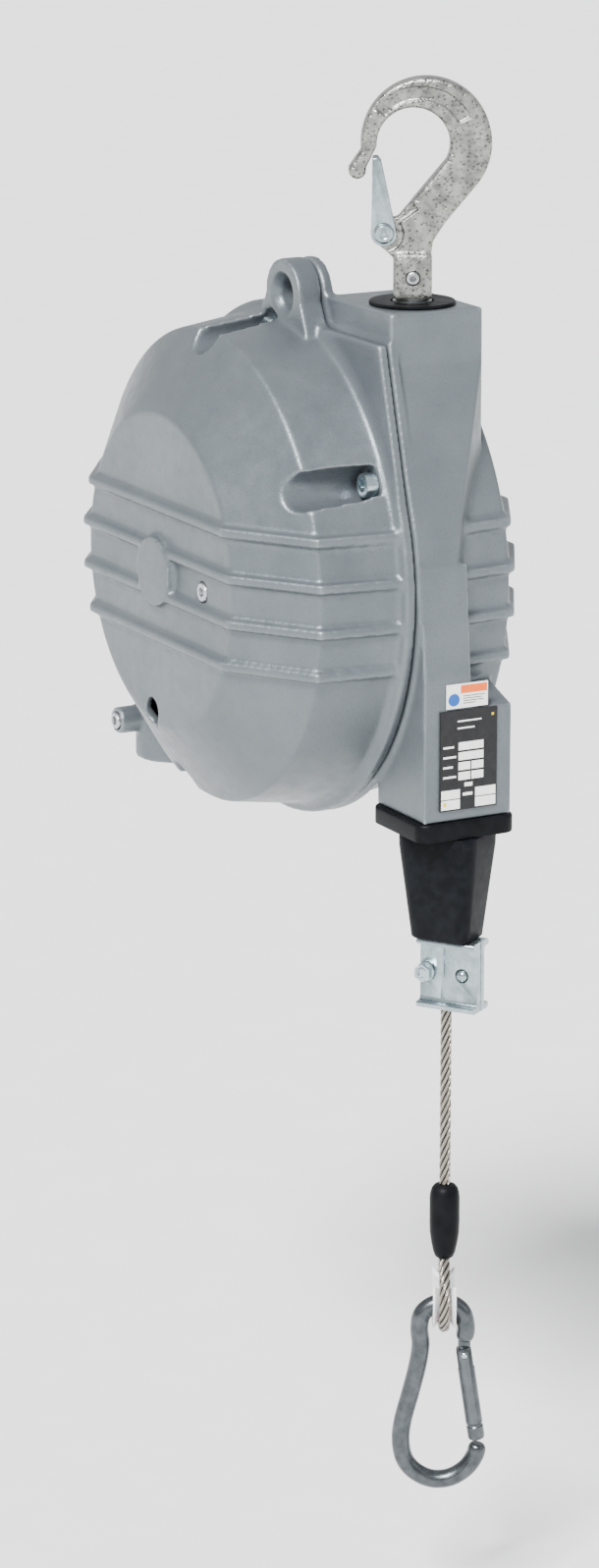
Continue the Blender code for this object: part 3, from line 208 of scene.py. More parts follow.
def hexagon(name, flats, low, high, centre):
    clearChoice()
    spot = Vector(centre) + upright["Y"] * (low + high) / 2
    radius = flats / math.cos(math.pi / 6)
    bpy.ops.mesh.primitive_cylinder_add(
        vertices=6, radius=radius, depth=high - low, location=spot, rotation=(math.pi / 2, 0, 0),
    )
    bpy.ops.object.transform_apply(location=True, rotation=True, scale=True)
    piece = bpy.context.object
    piece.name = name
    return piece


def joined(piece, how, tools):
    group = bpy.data.collections.new("tools")
    for tool in tools:
        group.objects.link(tool)
    change = piece.modifiers.new("join", "BOOLEAN")
    change.operation = how
    change.solver = "EXACT"
    change.operand_type = "COLLECTION"
    change.collection = group
    applied(piece)
    for tool in tools:
        bpy.data.objects.remove(tool)
    bpy.data.collections.remove(group)
    return piece


def rounded(piece, width, steps=2, angle=35):
    change = piece.modifiers.new("round", "BEVEL")
    change.width = width
    change.segments = steps
    change.limit_method = "ANGLE"
    change.angle_limit = math.radians(angle)
    return applied(piece)


def skinned(piece, grain, passes, most=170000):
    skin = piece.modifiers.new("skin", "REMESH")
    skin.mode = "VOXEL"
    skin.voxel_size = grain
    soft = piece.modifiers.new("soften", "SMOOTH")
    soft.factor = 0.5
    soft.iterations = passes
    applied(piece)
    count = 2 * len(piece.data.polygons)
    if count > most:
        thin = piece.modifiers.new("thin", "DECIMATE")
        thin.ratio = most / count
        applied(piece)
    take(piece)
    bpy.ops.object.shade_smooth()
    return piece


def arc(centre, radius, start, end, steps):
    turns = [math.radians(start + (end - start) * i / steps) for i in range(steps + 1)]
    return [(centre[0] + radius * math.cos(t), centre[1] + radius * math.sin(t)) for t in turns]


def smoothLine(points, each):
    spots = [Vector(p) for p in points]
    spots = [2 * spots[0] - spots[1], *spots, 2 * spots[-1] - spots[-2]]
    line = []
    for a, b, c, d in zip(spots, spots[1:], spots[2:], spots[3:]):
        for step in range(each):
            t = step / each
            line.append(0.5 * (
                2 * b + (c - a) * t + (2 * a - 5 * b + 4 * c - d) * t**2
                + (3 * b - a - 3 * c + d) * t**3
            ))
    return line + [spots[-2]]


def bar(name, points, radii, sides=20):
    clearChoice()
    data = bpy.data.curves.new(name, "CURVE")
    data.dimensions = "3D"
    data.bevel_depth = 1.0
    data.bevel_resolution = sides // 4 - 1
    data.use_fill_caps = True
    spline = data.splines.new("POLY")
    spline.points.add(len(points) - 1)
    for spot, place, radius in zip(spline.points, points, radii):
        spot.co = (*place, 1)
        spot.radius = radius
    piece = bpy.data.objects.new(name, data)
    bpy.context.scene.collection.objects.link(piece)
    take(piece)
    bpy.ops.object.convert(target="MESH")
    piece = bpy.context.object
    edit(piece)
    bpy.ops.mesh.select_all(action="SELECT")
    bpy.ops.mesh.remove_doubles(threshold=0.001)
    outwards()
    return leave()


def settle(piece, body, finishes, nodes=(), turn=0.0, move=(0, 0, 0), angle=30):
    place = Matrix.Translation(-hangPoint * mm) @ Matrix.Scale(mm, 4)
    place = place @ Matrix.Translation(Vector(move))
    piece.matrix_world = place @ Matrix.Rotation(turn, 4, "Z")
    take(piece)
    bpy.ops.object.transform_apply(location=True, rotation=True, scale=True)
    bpy.ops.object.shade_smooth_by_angle(angle=math.radians(angle))
    piece.data.materials.clear()
    for finish in finishes:
        piece.data.materials.append(finish.material)
    if nodes:
        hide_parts(*nodes)
    if body:
        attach(piece, body)
    return piece


# one socket that can be reckoned with
class Wire:
    def __init__(self, finish, socket):
        self.finish, self.socket = finish, socket

    def reckon(self, operation, first, second):
        return self.finish.node("ShaderNodeMath", {"operation": operation}, {0: first, 1: second})

    def __add__(self, other):
        return self.reckon("ADD", self, other)

    def __sub__(self, other):
        return self.reckon("SUBTRACT", self, other)

    def __rsub__(self, other):
        return self.reckon("SUBTRACT", other, self)

    def __mul__(self, other):
        return self.reckon("MULTIPLY", self, other)


# a principled material and the nodes that feed it; sizes are in millimetres
class Finish:
    def __init__(self, name, colour, roughness, metallic=0.0, **sockets):
        self.material = bpy.data.materials.new(name)
        self.material.use_nodes = True
        self.tree = self.material.node_tree
        self.shader = self.tree.nodes["Principled BSDF"]
        self.give(self.shader, {
            "Base Color": (*colour, 1), "Roughness": roughness, "Metallic": metallic, **sockets,
        })

    def give(self, node, values):
        for key, value in values.items():
            if isinstance(value, Wire):
                self.tree.links.new(value.socket, node.inputs[key])
            else:
                node.inputs[key].default_value = value

    def node(self, kind, settings=None, values=None, out=0):
        made = self.tree.nodes.new(kind)
        for key, value in (settings or {}).items():
            setattr(made, key, value)
        self.give(made, values or {})
        return Wire(self, made.outputs[out])

    def wear(self, **values):
        self.give(self.shader, {key.replace("_", " "): value for key, value in values.items()})

    def spots(self, stretch=(1, 1, 1)):
        here = self.node("ShaderNodeTexCoord", out="Object")
        scale = tuple(part / mm for part in stretch)
        return self.node("ShaderNodeMapping", None, {"Vector": here, "Scale": scale})

    def grain(self, size, detail=3.0, rough=0.55, spots=None):
        spots = spots or self.spots()
        values = {"Vector": spots, "Scale": 1 / size, "Detail": detail, "Roughness": rough}
        return self.node("ShaderNodeTexNoise", None, values)

    def pits(self, size):
        values = {"Vector": self.spots(), "Scale": 1 / size}
        return self.node("ShaderNodeTexVoronoi", None, values)

    def between(self, value, low, high, start=0.0, end=1.0):
        values = {"Value": value, "From Min": low, "From Max": high, "To Min": start, "To Max": end}
        return self.node("ShaderNodeMapRange", None, values, "Result")

    # inputs 6 and 7 take the two colours, and output 2 gives their mix
    def shade(self, factor, first, second):
        values = {"Factor": factor, 6: first if isinstance(first, Wire) else (*first, 1)}
        values[7] = second if isinstance(second, Wire) else (*second, 1)
        return self.node("ShaderNodeMix", {"data_type": "RGBA"}, values, 2)

    def relief(self, height, depth, strength):
        values = {"Height": height, "Distance": depth * mm, "Strength": strength}
        return self.node("ShaderNodeBump", None, values, "Normal")

    def edges(self, low, high):
        return self.between(self.node("ShaderNodeNewGeometry", out="Pointiness"), low, high)


castLook = {
    "base": (0.17, 0.19, 0.205), "dark": (0.108, 0.125, 0.138), "light": (0.131, 0.149, 0.162),
    "speck": (0.065, 0.077, 0.087), "edge": (0.45, 0.48, 0.5), "cloud": 34, "grit": 0.9,
}


def makeCast():
    cast = Finish("blastedCasting", castLook["base"], 0.4, 0.55)
    cloud, fine = cast.grain(castLook["cloud"], 4), cast.grain(castLook["grit"], 2)
    patches = cast.between(cloud, 0.35, 0.65)
    colour = cast.shade(patches, castLook["dark"], castLook["light"])
    colour = cast.shade(cast.between(fine, 0.55, 0.75, 0, 0.35), colour, castLook["speck"])
    colour = cast.shade(cast.edges(0.52, 0.62) * 0.6, colour, castLook["edge"])
    rough = cast.between(cast.grain(6, 3), 0.3, 0.7, 0.32, 0.44)
    height = fine + cast.grain(0.45, 1) * 0.7
    cast.wear(Base_Color=colour, Roughness=rough, Normal=cast.relief(height, 0.16, 0.5))
    return cast


forgedLook = {
    "base": (0.6, 0.6, 0.57), "dark": (0.17, 0.17, 0.16), "light": (0.34, 0.34, 0.318),
    "pit": (0.045, 0.045, 0.042), "edge": (0.75, 0.74, 0.7), "cloud": 5, "dent": 1.7,
}


def makeForged():
    forged = Finish("galvanisedForging", forgedLook["base"], 0.34, 0.85)
    cloud, dents = forged.grain(forgedLook["cloud"], 4), forged.pits(forgedLook["dent"])
    pitted = forged.between(dents, 0.05, 0.45)
    patches = forged.between(cloud, 0.35, 0.65)
    colour = forged.shade(patches, forgedLook["dark"], forgedLook["light"])
    colour = forged.shade(1 - pitted, colour, forgedLook["pit"])
    colour = forged.shade(forged.edges(0.53, 0.68) * 0.6, colour, forgedLook["edge"])
    rough = forged.between(cloud, 0.3, 0.7, 0.26, 0.44)
    height = pitted * 0.6 + forged.grain(2.4, 3) + forged.grain(0.5, 2) * 0.3
    forged.wear(Base_Color=colour, Roughness=rough, Normal=forged.relief(height, 0.45, 0.7))
    return forged


# drawn or plated metal, with streaks along the stretched direction
def makePlated(name, dark, light, roughness, streak=(1, 1, 0.08), strength=0.25):
    plated = Finish(name, light, roughness, 0.95)
    lines = plated.grain(0.25, 3, 0.6, plated.spots(streak))
    cloud = plated.grain(4.5, 3)
    worn = tuple(min(1.0, part * 1.25) for part in light)
    colour = plated.shade(plated.between(cloud, 0.3, 0.7), dark, light)
    colour = plated.shade(plated.edges(0.53, 0.7) * 0.5, colour, worn)
    rough = plated.between(lines, 0.3, 0.7, roughness - 0.06, roughness + 0.1)
    height = plated.relief(lines + cloud * 0.5, 0.08, strength)
    plated.wear(Base_Color=colour, Roughness=rough, Normal=height)
    return plated


ropeLook = {
    # gap is painted shade: near-black on the side of each strand that faces its neighbours and the
    # core
    "base": (0.5, 0.48, 0.44), "gap": (0.006, 0.006, 0.005), "wire": (0.5, 0.46, 0.4),
    # groove is painted shade in the troughs between the wires
    "groove": (0.12, 0.11, 0.1), "grease": (0.25, 0.22, 0.18), "wires": 7, "slant": 1.3,
}


# u runs round one strand and v along it in millimetres
def makeRope():
    rope = Finish("strandedWire", ropeLook["base"], 0.3, 0.9)
    around = rope.node("ShaderNodeUVMap", {"uv_map": "wires"})
    parts = rope.tree.nodes.new("ShaderNodeSeparateXYZ")
    rope.give(parts, {0: around})
    u, v = Wire(rope, parts.outputs[0]), Wire(rope, parts.outputs[1])
    off = rope.node("ShaderNodeMath", {"operation": "ABSOLUTE"}, {0: u - 0.5})
    twist = u * 6.2832 * ropeLook["wires"] + v * ropeLook["slant"]
    wires = rope.node("ShaderNodeMath", {"operation": "SINE"}, {0: twist})
    # painted shade: the inward side of each strand, between the strands, turns to the near-black
    # gap colour
    colour = rope.shade(rope.between(off, 0.22, 0.08), ropeLook["gap"], ropeLook["wire"])
    # painted shade: the troughs between the wires, from the same sine that feeds the bump, are
    # darkened towards the groove colour
    colour = rope.shade(rope.between(wires, -0.2, -1.0, 0, 0.6), colour, ropeLook["groove"])
    greased = rope.between(rope.grain(9, 3), 0.5, 0.75, 0, 0.5)
    colour = rope.shade(greased, colour, ropeLook["grease"])
    rope.wear(Base_Color=colour, Normal=rope.relief(wires, 0.12, 0.8))
    return rope


def makeMoulded(name, dark, light, roughness, grainSize, depth, **sockets):
    moulded = Finish(name, dark, roughness, 0.0, **sockets)
    fine, cloud = moulded.grain(grainSize, 3), moulded.grain(grainSize * 14, 3)
    colour = moulded.shade(moulded.between(cloud, 0.35, 0.7), dark, light)
    rough = moulded.between(cloud, 0.3, 0.7, roughness - 0.05, roughness + 0.08)
    moulded.wear(Base_Color=colour, Roughness=rough, Normal=moulded.relief(fine, depth, 0.5))
    return moulded


cast = makeCast()
forged = makeForged()
zinc = makePlated("brightZinc", (0.25, 0.305, 0.325), (0.4, 0.47, 0.5), 0.22)
brushed = makePlated(
    "brushedSnap", (0.06, 0.067, 0.073), (0.105, 0.117, 0.125), 0.24, (1, 1, 0.1), 0.5,
)
steel = makePlated("plainSteel", (0.3, 0.31, 0.32), (0.48, 0.49, 0.5), 0.32)
blued = makePlated("bluedStrip", (0.1, 0.12, 0.16), (0.22, 0.25, 0.3), 0.3)
turnedAlloy = makePlated("turnedAlloy", (0.5, 0.51, 0.52), (0.68, 0.69, 0.7), 0.3, (0.1, 1, 0.1))
bronze = makePlated("bushBronze", (0.4, 0.25, 0.1), (0.62, 0.42, 0.2), 0.36)
ropeWire = makeRope()
ropeCore = makeMoulded("ropeCore", (0.012, 0.011, 0.01), (0.03, 0.028, 0.025), 0.7, 0.5, 0.1)
matt = {"Specular IOR Level": 0.06}
milky = {"Subsurface Weight": 0.25, "Subsurface Scale": 0.004}
plastic = makeMoulded(
    "blackPlastic", (0.003, 0.0033, 0.004), (0.006, 0.0065, 0.008), 0.4, 0.5, 0.05, **matt,
)
rubber = makeMoulded(
    "blackRubber", (0.003, 0.0035, 0.0045), (0.007, 0.008, 0.01), 0.45, 0.35, 0.12, **matt,
)
pale = makeMoulded(
    "palePlastic", (0.6, 0.63, 0.64), (0.74, 0.76, 0.76), 0.3, 0.8, 0.04, **milky,
)
plateBlack = makeMoulded(
    "plateBlack", (0.008, 0.008, 0.009), (0.014, 0.014, 0.015), 0.3, 0.3, 0.02,
    **{"Specular IOR Level": 0.25},
)
inkSkin = (0.4, 0.3, 0.02)  # roughness, size of the grain and its depth
printWhite = makeMoulded("printWhite", (0.78, 0.78, 0.76), (0.86, 0.86, 0.84), *inkSkin)
printOrange = makeMoulded("printOrange", (0.75, 0.1, 0.0), (0.8, 0.13, 0.0), *inkSkin)
printBlue = makeMoulded("printBlue", (0.0, 0.07, 0.34), (0.0, 0.085, 0.38), *inkSkin)
printYellow = makeMoulded("printYellow", (0.65, 0.45, 0.0), (0.7, 0.5, 0.0), *inkSkin)
bySlot = {
    "cast_grey": cast, "forged_zinc": forged, "bright_zinc": zinc, "steel": steel,
    "wire_rope": steel, "spring_steel": blued, "machined_alloy": turnedAlloy, "bronze": bronze,
    "black_plastic": plastic, "black_rubber": rubber, "pale_plastic": pale,
    "plate_black": plateBlack, "label_white": printWhite,
}
for node in frame["nodes"].values():
    for place in node.material_slots:
        place.material = bySlot[place.material.name.split(".")[0]].material
print("finishes mixed")


# the rope between the collar and its sleeve, six strands laid round a core
rope = {
    "laid": 1.56, "strand": 0.84, "lay": 27.0, "strands": 6, "sides": 8,
    "top": [(94.5, 21.7, -77.0), (94.75, 21.87, -82.0), (94.93, 21.97, -87.0), (95.0, 22.0, -92.0)],
    "drop": 159.2, "steps": 60,
}


def frames(path):
    side = Vector((1, 0, 0))
    for index, spot in enumerate(path):
        ahead = (path[min(index + 1, len(path) - 1)] - path[max(index - 1, 0)]).normalized()
        side = (side - ahead * side.dot(ahead)).normalized()
        yield spot, side, ahead.cross(side)


def layRope(name, path):
    mesh = bmesh.new()
    wires = mesh.loops.layers.uv.new("wires")
    travelled, before = 0.0, path[0]
    rows = []
    for spot, side, other in frames(path):
        travelled += (spot - before).length
        before = spot
        rows.append((spot, side, other, travelled))
    sides = rope["sides"]
    turns = [2 * math.pi * j / sides for j in range(sides)]
    for strand in range(rope["strands"] + 1):
        core = strand == rope["strands"]
        laid, thick = (0.0, rope["laid"]) if core else (rope["laid"], rope["strand"])
        loops = []
        for spot, side, other, gone in rows:
            turn = 2 * math.pi * (gone / rope["lay"] + strand / rope["strands"])
            out = side * math.cos(turn) + other * math.sin(turn)
            across = side.cross(other).cross(out)
            middle = spot + out * laid
            rim = [
                mesh.verts.new(middle + (-out * math.cos(t) + across * math.sin(t)) * thick)
                for t in turns
            ]
            loops.append((rim, gone))
        for (lower, low), (upper, high) in zip(loops, loops[1:]):
            for j in range(sides):
                k = (j + 1) % sides
                face = mesh.faces.new((lower[j], lower[k], upper[k], upper[j]))
                face.material_index = 1 if core else 0
                left, right = j / sides, (j + 1) / sides
                corners = ((left, low), (right, low), (right, high), (left, high))
                for corner, spot in zip(face.loops, corners):
                    corner[wires].uv = spot
        for rim in (loops[0][0], loops[-1][0]):
            face = mesh.faces.new(rim)
            face.material_index = 1
    bmesh.ops.recalc_face_normals(mesh, faces=mesh.faces)
    data = bpy.data.meshes.new(name)
    mesh.to_mesh(data)
    mesh.free()
    piece = bpy.data.objects.new(name, data)
    bpy.context.scene.collection.objects.link(piece)
    return piece


topX, topY, topZ = rope["top"][-1]
ropeDrop = [
    Vector((topX, topY, topZ - rope["drop"] * i / rope["steps"]))
    for i in range(1, rope["steps"] + 1)
]
ropeRun = smoothLine([Vector(spot) for spot in rope["top"]] + ropeDrop, 1)
hangingRope = layRope("hangingRope", ropeRun)
settle(hangingRope, None, [ropeWire, ropeCore], ["rope_fall"], angle=70)
print("rope laid")


# the loop under the sleeve, in the plane across the snap hook
eye = {
    "inner": 8.2, "centre": -300.5, "rope": 13.6, "rise": 55.0, "foot": -285.3, "apart": 2.7,
}


def eyeSpots(radius, rise, steps):
    turns = [math.radians(rise - (180 + 2 * rise) * i / steps) for i in range(steps + 1)]
    return [(radius * math.cos(t), eye["centre"] + radius * math.sin(t), t) for t in turns]


loop = [Vector((0, y, z)) for y, z, _ in eyeSpots(eye["rope"], eye["rise"], 14)]
loop = [Vector((0, eye["apart"], eye["foot"])), *loop, Vector((0, -eye["apart"], eye["foot"]))]
ropeLoop = settle(
    layRope("ropeLoop", smoothLine(loop, 4)), "rope_end", [ropeWire, ropeCore],
    ["rope_eye"], hookTurn, ropeLine, 70,
)

thimbleShape = {
    "section": [(0, 1.2), (1.5, 3.2), (3.4, 4.3), (5.8, 5.0), (6.0, 4.1), (3.6, 2.7), (2.6, 1.4)],
    "rise": 33.0,
}


def makeThimble():
    half = thimbleShape["section"]
    section = half + [(out, -side) for out, side in reversed(half)]
    spots = eyeSpots(eye["inner"], thimbleShape["rise"], 48)
    y, z, turn = spots[0]
    chain([(side, y + out * math.cos(turn), z + out * math.sin(turn)) for out, side in section])
    bpy.ops.mesh.edge_face_add()
    for before, after in zip(spots, spots[1:]):
        bpy.ops.mesh.extrude_region_move(TRANSFORM_OT_translate={"value": (0, 0, 0)})
        bpy.ops.transform.rotate(
            value=-(after[2] - before[2]), orient_axis="X", center_override=(0, 0, eye["centre"]),
        )
    outwards()
    return rounded(leave("thimbleLiner"), 0.35, 2, 40)


thimble = settle(
    makeThimble(), "rope_end", [pale], ["thimble"], hookTurn, ropeLine, 40,
)

sleeveShape = [
    (0, -283.9), (3.0, -283.9), (3.9, -283.2), (4.7, -281.0), (5.6, -276.5), (6.15, -272.5),
    (6.3, -268.0), (6.3, -257.5), (6.05, -255.2), (5.4, -253.2), (4.4, -252.0), (3.3, -251.5),
    (2.5, -251.5), (2.4, -252.4), (0, -252.4),
]
sleeve = settle(
    spun("ropeSleeve", sleeveShape, axis="Z", steps=64), "rope_end", [plastic],
    ["rope_sleeve"], hookTurn, ropeLine, 40,
)
print("rope end made")


# the snap hook: a bent wire and a gate with a slotted head
snap = {
    "wire": 3.9,
    "line": [
        (8.5, -321.0), (9.4, -315.5), (8.0, -309.0), (4.2, -305.3), (0, -304.5), (-5.0, -305.6),
        (-9.2, -309.6), (-10.2, -316.0), (-9.6, -323.0), (-10.8, -332.0), (-13.6, -344.0),
        (-16.8, -356.5), (-17.8, -365.5), (-16.4, -374.0), (-12.0, -380.0), (-5.0, -383.6),
        (2.8, -383.2), (9.6, -379.0), (13.6, -373.0), (14.8, -367.7),
    ],
    "pivot": (8.7, -327.0), "foot": (14.3, -365.5), "gate": 3.6, "pin": 1.3,
    "tongue": 2.6, "tongueR": 2.6, "tongueHigh": 7.5,
}


def makeSnap():
    line = smoothLine([(u, 0, z) for u, z in snap["line"]], 6)
    radii = [snap["wire"]] * len(line)
    for index, size in enumerate((0.72, 0.9, 0.97)):
        radii[index] = snap["wire"] * size
        radii[-1 - index] = snap["wire"] * size
    body = bar("snapWire", line, radii, 32)
    px, pz = snap["pivot"]
    half, wide, high = snap["tongue"] / 2, snap["tongueR"], snap["tongueHigh"]
    outline = [(px - wide, pz + high), *arc((px, pz), wide, 180, 360, 16), (px + wide, pz + high)]
    joined(body, "UNION", [prism("tongue", outline, -half, half)])
    joined(body, "DIFFERENCE", [rod("pinHole", snap["pin"] + 0.2, -9, 9, (px, 0, pz))])
    return skinned(body, 0.32, 3, 120000)


def makeGate():
    (px, pz), (fx, fz) = snap["pivot"], snap["foot"]
    length = math.hypot(fx - px, fz - pz)
    r = snap["gate"]
    shape = [
        (0, -length), (2.5, -length), (3.3, -length + 0.5), (r, -length + 1.4), (r, -length + 6),
        (r - 0.35, -length + 6.5), (r - 0.35, -length + 7.2), (r, -length + 7.7),
        (r, 1.6), (r - 0.5, 2.8), (r - 1.6, 3.4), (0, 3.4),
    ]
    gate = spun("gateBar", shape, axis="Z", steps=48)
    gap = snap["tongue"] / 2 + 0.3
    slot = block("slot", (-12, -gap, -6.5), (12, gap, 12))
    joined(gate, "DIFFERENCE", [slot, rod("hole", snap["pin"] + 0.1, -9, 9)])
    rounded(gate, 0.22, 2, 40)
    take(gate)
    gate.rotation_euler.y = -math.atan2(fx - px, -(fz - pz))
    gate.location = (px, 0, pz)
    bpy.ops.object.transform_apply(location=True, rotation=True, scale=True)
    return gate


settle(makeSnap(), "snap_hook", [brushed], ["snap_hook"], hookTurn, ropeLine, 60)
settle(makeGate(), "gate", [brushed], ["snap_gate"], hookTurn, ropeLine)
pinShape = [
    (0, -3.75), (0.9, -3.75), (1.25, -3.5), (1.3, -3.2), (1.3, 3.2), (1.25, 3.5), (0.9, 3.75),
    (0, 3.75),
]
gatePin = spun("gatePin", pinShape, (snap["pivot"][0], 0, snap["pivot"][1]), steps=32)
settle(gatePin, "snap_hook", [zinc], ["gate_pin"], hookTurn, ropeLine)
print("snap hook made")


# bumper and clamp, turned on the rope's own line
clamp = {
    "top": -144.0, "low": -174.0, "wide": 26.0, "shift": 2.6, "thick": 3.0, "lip": 4.0,
    "bolt": -7.6, "stud": 8.6, "gap": 0.3,
}
# height, half width and half depth
bumperRows = [(-98.1, 17.4, 15.0), (-104.0, 17.3, 14.9), (-143.0, 13.1, 10.1), (-143.7, 12.6, 9.6)]


def cornerLoop(wide, deep, radius, z, steps, middle=(0, 0)):
    spots = []
    for sx, sy, start in ((1, 1, 0), (-1, 1, 90), (-1, -1, 180), (1, -1, 270)):
        corner = (middle[0] + sx * (wide - radius), middle[1] + sy * (deep - radius))
        spots += arc(corner, radius, start, start + 90, steps)
    return [(x, y, z) for x, y in spots]


def makeBumper():
    z, wide, deep = bumperRows[0]
    chain(cornerLoop(wide, deep, 7.0, z, 12))
    bpy.ops.mesh.edge_face_add()
    for (z, wide, deep), (nextZ, nextWide, nextDeep) in zip(bumperRows, bumperRows[1:]):
        bpy.ops.mesh.extrude_region_move(TRANSFORM_OT_translate={"value": (0, 0, nextZ - z)})
        ratio = (nextWide / wide, nextDeep / deep, 1)
        bpy.ops.transform.resize(value=ratio, center_override=(0, 0, nextZ))
    outwards()
    piece = leave("stopBumper")
    joined(piece, "DIFFERENCE", [rod("bore", 2.7, -150, -90, axis="Z")])
    return rounded(piece, 0.4, 2, 40)


def makeClampPlate(name, side):
    inner, outer = side * clamp["gap"], side * (clamp["gap"] + clamp["thick"])
    lip = side * (clamp["gap"] + clamp["thick"] + clamp["lip"])
    top, low = clamp["top"], clamp["low"]
    left = clamp["shift"] - clamp["wide"] / 2
    turnIn = 1.6 * side
    section = [
        (inner, top), (lip - turnIn, top), (lip - turnIn * 0.3, top - 0.4), (lip, top - 1.3),
        (lip, top - 2.2), (lip - turnIn * 0.4, top - 2.6), (outer + turnIn, top - 2.6),
        (outer + turnIn * 0.3, top - 3.0), (outer, top - 4.2), (outer, low + 4.2),
        (outer + turnIn * 0.3, low + 3.0), (outer + turnIn, low + 2.6),
        (lip - turnIn * 0.4, low + 2.6), (lip, low + 2.2), (lip, low + 1.3),
        (lip - turnIn * 0.3, low + 0.4), (lip - turnIn, low), (inner, low),
    ]
    piece = plate(name, [(left, y, z) for y, z in section], (clamp["wide"], 0, 0))
    middle = (top + low) / 2
    cuts = [rod("groove", 2.7, low - 5, top + 5, axis="Z")]
    cuts += [rod("hole", 3.0, -20, 20, (x, 0, middle)) for x in (clamp["bolt"], clamp["stud"])]
    # a crease pressed down the front, over the rope
    crease = [(-1.1, outer + side * 0.02), (0, outer - side * 0.55), (1.1, outer + side * 0.02)]
    cuts.append(plate("crease", [(x, y, low + 3.4) for x, y in crease], (0, 0, top - low - 6.8)))
    joined(piece, "DIFFERENCE", cuts)
    return rounded(piece, 0.25, 2, 40)


def clampSpot(post):
    middle = (clamp["top"] + clamp["low"]) / 2
    return clamp["gap"] + clamp["thick"], (clamp[post], 0, middle)


def makeBolt():
    face, spot = clampSpot("bolt")
    piece = spun("clampBolt", [
        (0, -face - 4.6), (2.0, -face - 4.6), (2.6, -face - 4.3), (2.75, -face - 1.6),
        (3.9, -face - 1.2), (4.0, -face - 0.8), (4.0, -face - 0.3), (2.5, -face - 0.3),
        (2.5, face + 6.2), (2.1, face + 6.5), (0, face + 6.5),
    ], spot, steps=48)
    joined(piece, "UNION", [hexagon("head", 3.3, -face - 4.4, -face - 0.7, spot)])
    joined(piece, "DIFFERENCE", [rod("dish", 1.7, -face - 6, -face - 4.0, spot)])
    return rounded(piece, 0.18, 2, 30)


def makeStud():
    face, spot = clampSpot("stud")
    return spun("clampStud", [
        (0, -face - 1.6), (0.9, -face - 1.5), (1.7, -face - 1.1), (2.3, -face - 0.5),
        (2.5, -face), (2.5, face + 0.3), (4.0, face + 0.3), (4.0, face + 2.4),
        (3.4, face + 3.0), (2.2, face + 3.2), (0, face + 3.2),
    ], spot, steps=40)


def makeNut():
    face, spot = clampSpot("bolt")
    nut = hexagon("clampNut", 4.0, face + 0.3, face + 4.5, spot)
    joined(nut, "DIFFERENCE", [rod("bore", 2.62, face - 1, face + 6, spot)])
    return rounded(nut, 0.3, 2, 40)


settle(makeBumper(), "rope_end", [rubber], ["stop_bumper"], clampTurn, ropeLine)
for piece, slot, finish, node in (
    (makeClampPlate("clampFront", -1), "bright_zinc", zinc, "clamp_plate_front"),
    (makeClampPlate("clampRear", 1), "bright_zinc", zinc, "clamp_plate_rear"),
    (makeBolt(), "bright_zinc", zinc, "clamp_bolt"),
    (makeStud(), "bright_zinc", zinc, "clamp_stud"),
    (makeNut(), "steel", steel, "clamp_nut"),
):
    settle(piece, "rope_end", [finish], [node], clampTurn, ropeLine)
print("bumper and clamp made")
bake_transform(hangingRope)
[(spot - hangPoint) * mm for spot in ropeRun]


# castings: exact shapes joined, then one soft skin over all for the fillets of the mould
casing = {
    "wall": 3.6, "flangeR": 107.5, "flangeT": 4.5, "bandR": 103.6,
    "front": [(98.8, -39.0), (65.6, -61.5)], "rear": [(98.0, 48.0), (66.0, 66.0)],
    "ribs": (-27.6, -9.2, 9.2, 27.6), "ribWide": 4.0, "ribHigh": 3.0, "bossR": 14.5,
    "screwR": 97.2, "screws": (28.5, 88.3, 150.0, 225.0, 259.0), "seat": -8.0, "pocket": 8.0,
    "lug": (13.0, 112.8), "lugR": 14.7, "lugHole": 6.3, "lugSpan": (-11.0, 5.0), "lugFace": 3.0,
    "wormAt": (-93.0, -8.0), "wormR": 17.6, "wormSpan": (-106.0, 26.0),
    "plugAt": (-94.5, -88.0), "sightAt": (-9.0, -62.0), "grubAt": (38.5, -1.6),
    "neck": [(26, 60), (26, 113.5), (82, 113.5), (83, 92), (105, 26), (107, 14), (70, 14)],
    "middle": [(80, 15), (107, 15), (111, -30), (111, -50), (80, -50)],
    "guide": [(72, -90), (111, -90), (111, -44), (72, -30)],
    "taper": ((81.5, 44.1, 0), (23.1, 43.5, 0)),
    "grain": 1.0, "passes": 6,
}
cornerPlate = [(0, 0), (105.5, 20.0), (82.5, 101.5), (32.5, 101.5), (0, 80.0)]
screwTurns = [math.radians(degrees) for degrees in casing["screws"]]
screwSpots = [(casing["screwR"] * math.cos(a), casing["screwR"] * math.sin(a)) for a in screwTurns]
plugX, plugZ = casing["plugAt"]
sightX, sightZ = casing["sightAt"]
grubX, grubZ = casing["grubAt"]


# outward sign, the bend and the flat face of one half
def halfShape(front):
    return (-1, *casing["front"]) if front else (1, *casing["rear"])


def shellSection(front):
    sign, (bendR, bendY), (faceR, faceY) = halfShape(front)
    thick = casing["flangeT"]
    return [
        (0, faceY), (faceR, faceY), (bendR, bendY), (casing["bandR"], sign * (thick + 1.5)),
        (casing["flangeR"], sign * thick), (casing["flangeR"], -sign * thick), (0, -sign * thick),
    ]


def hollowSection(front):
    sign, (bendR, bendY), (faceR, faceY) = halfShape(front)
    wall = casing["wall"]
    return [
        (0, faceY - sign * wall), (faceR - wall / 2, faceY - sign * wall),
        (bendR - wall, bendY - sign * wall / 2), (casing["bandR"] - wall, sign * 1.0),
        (casing["bandR"] - wall, -sign * 12), (0, -sign * 12),
    ]


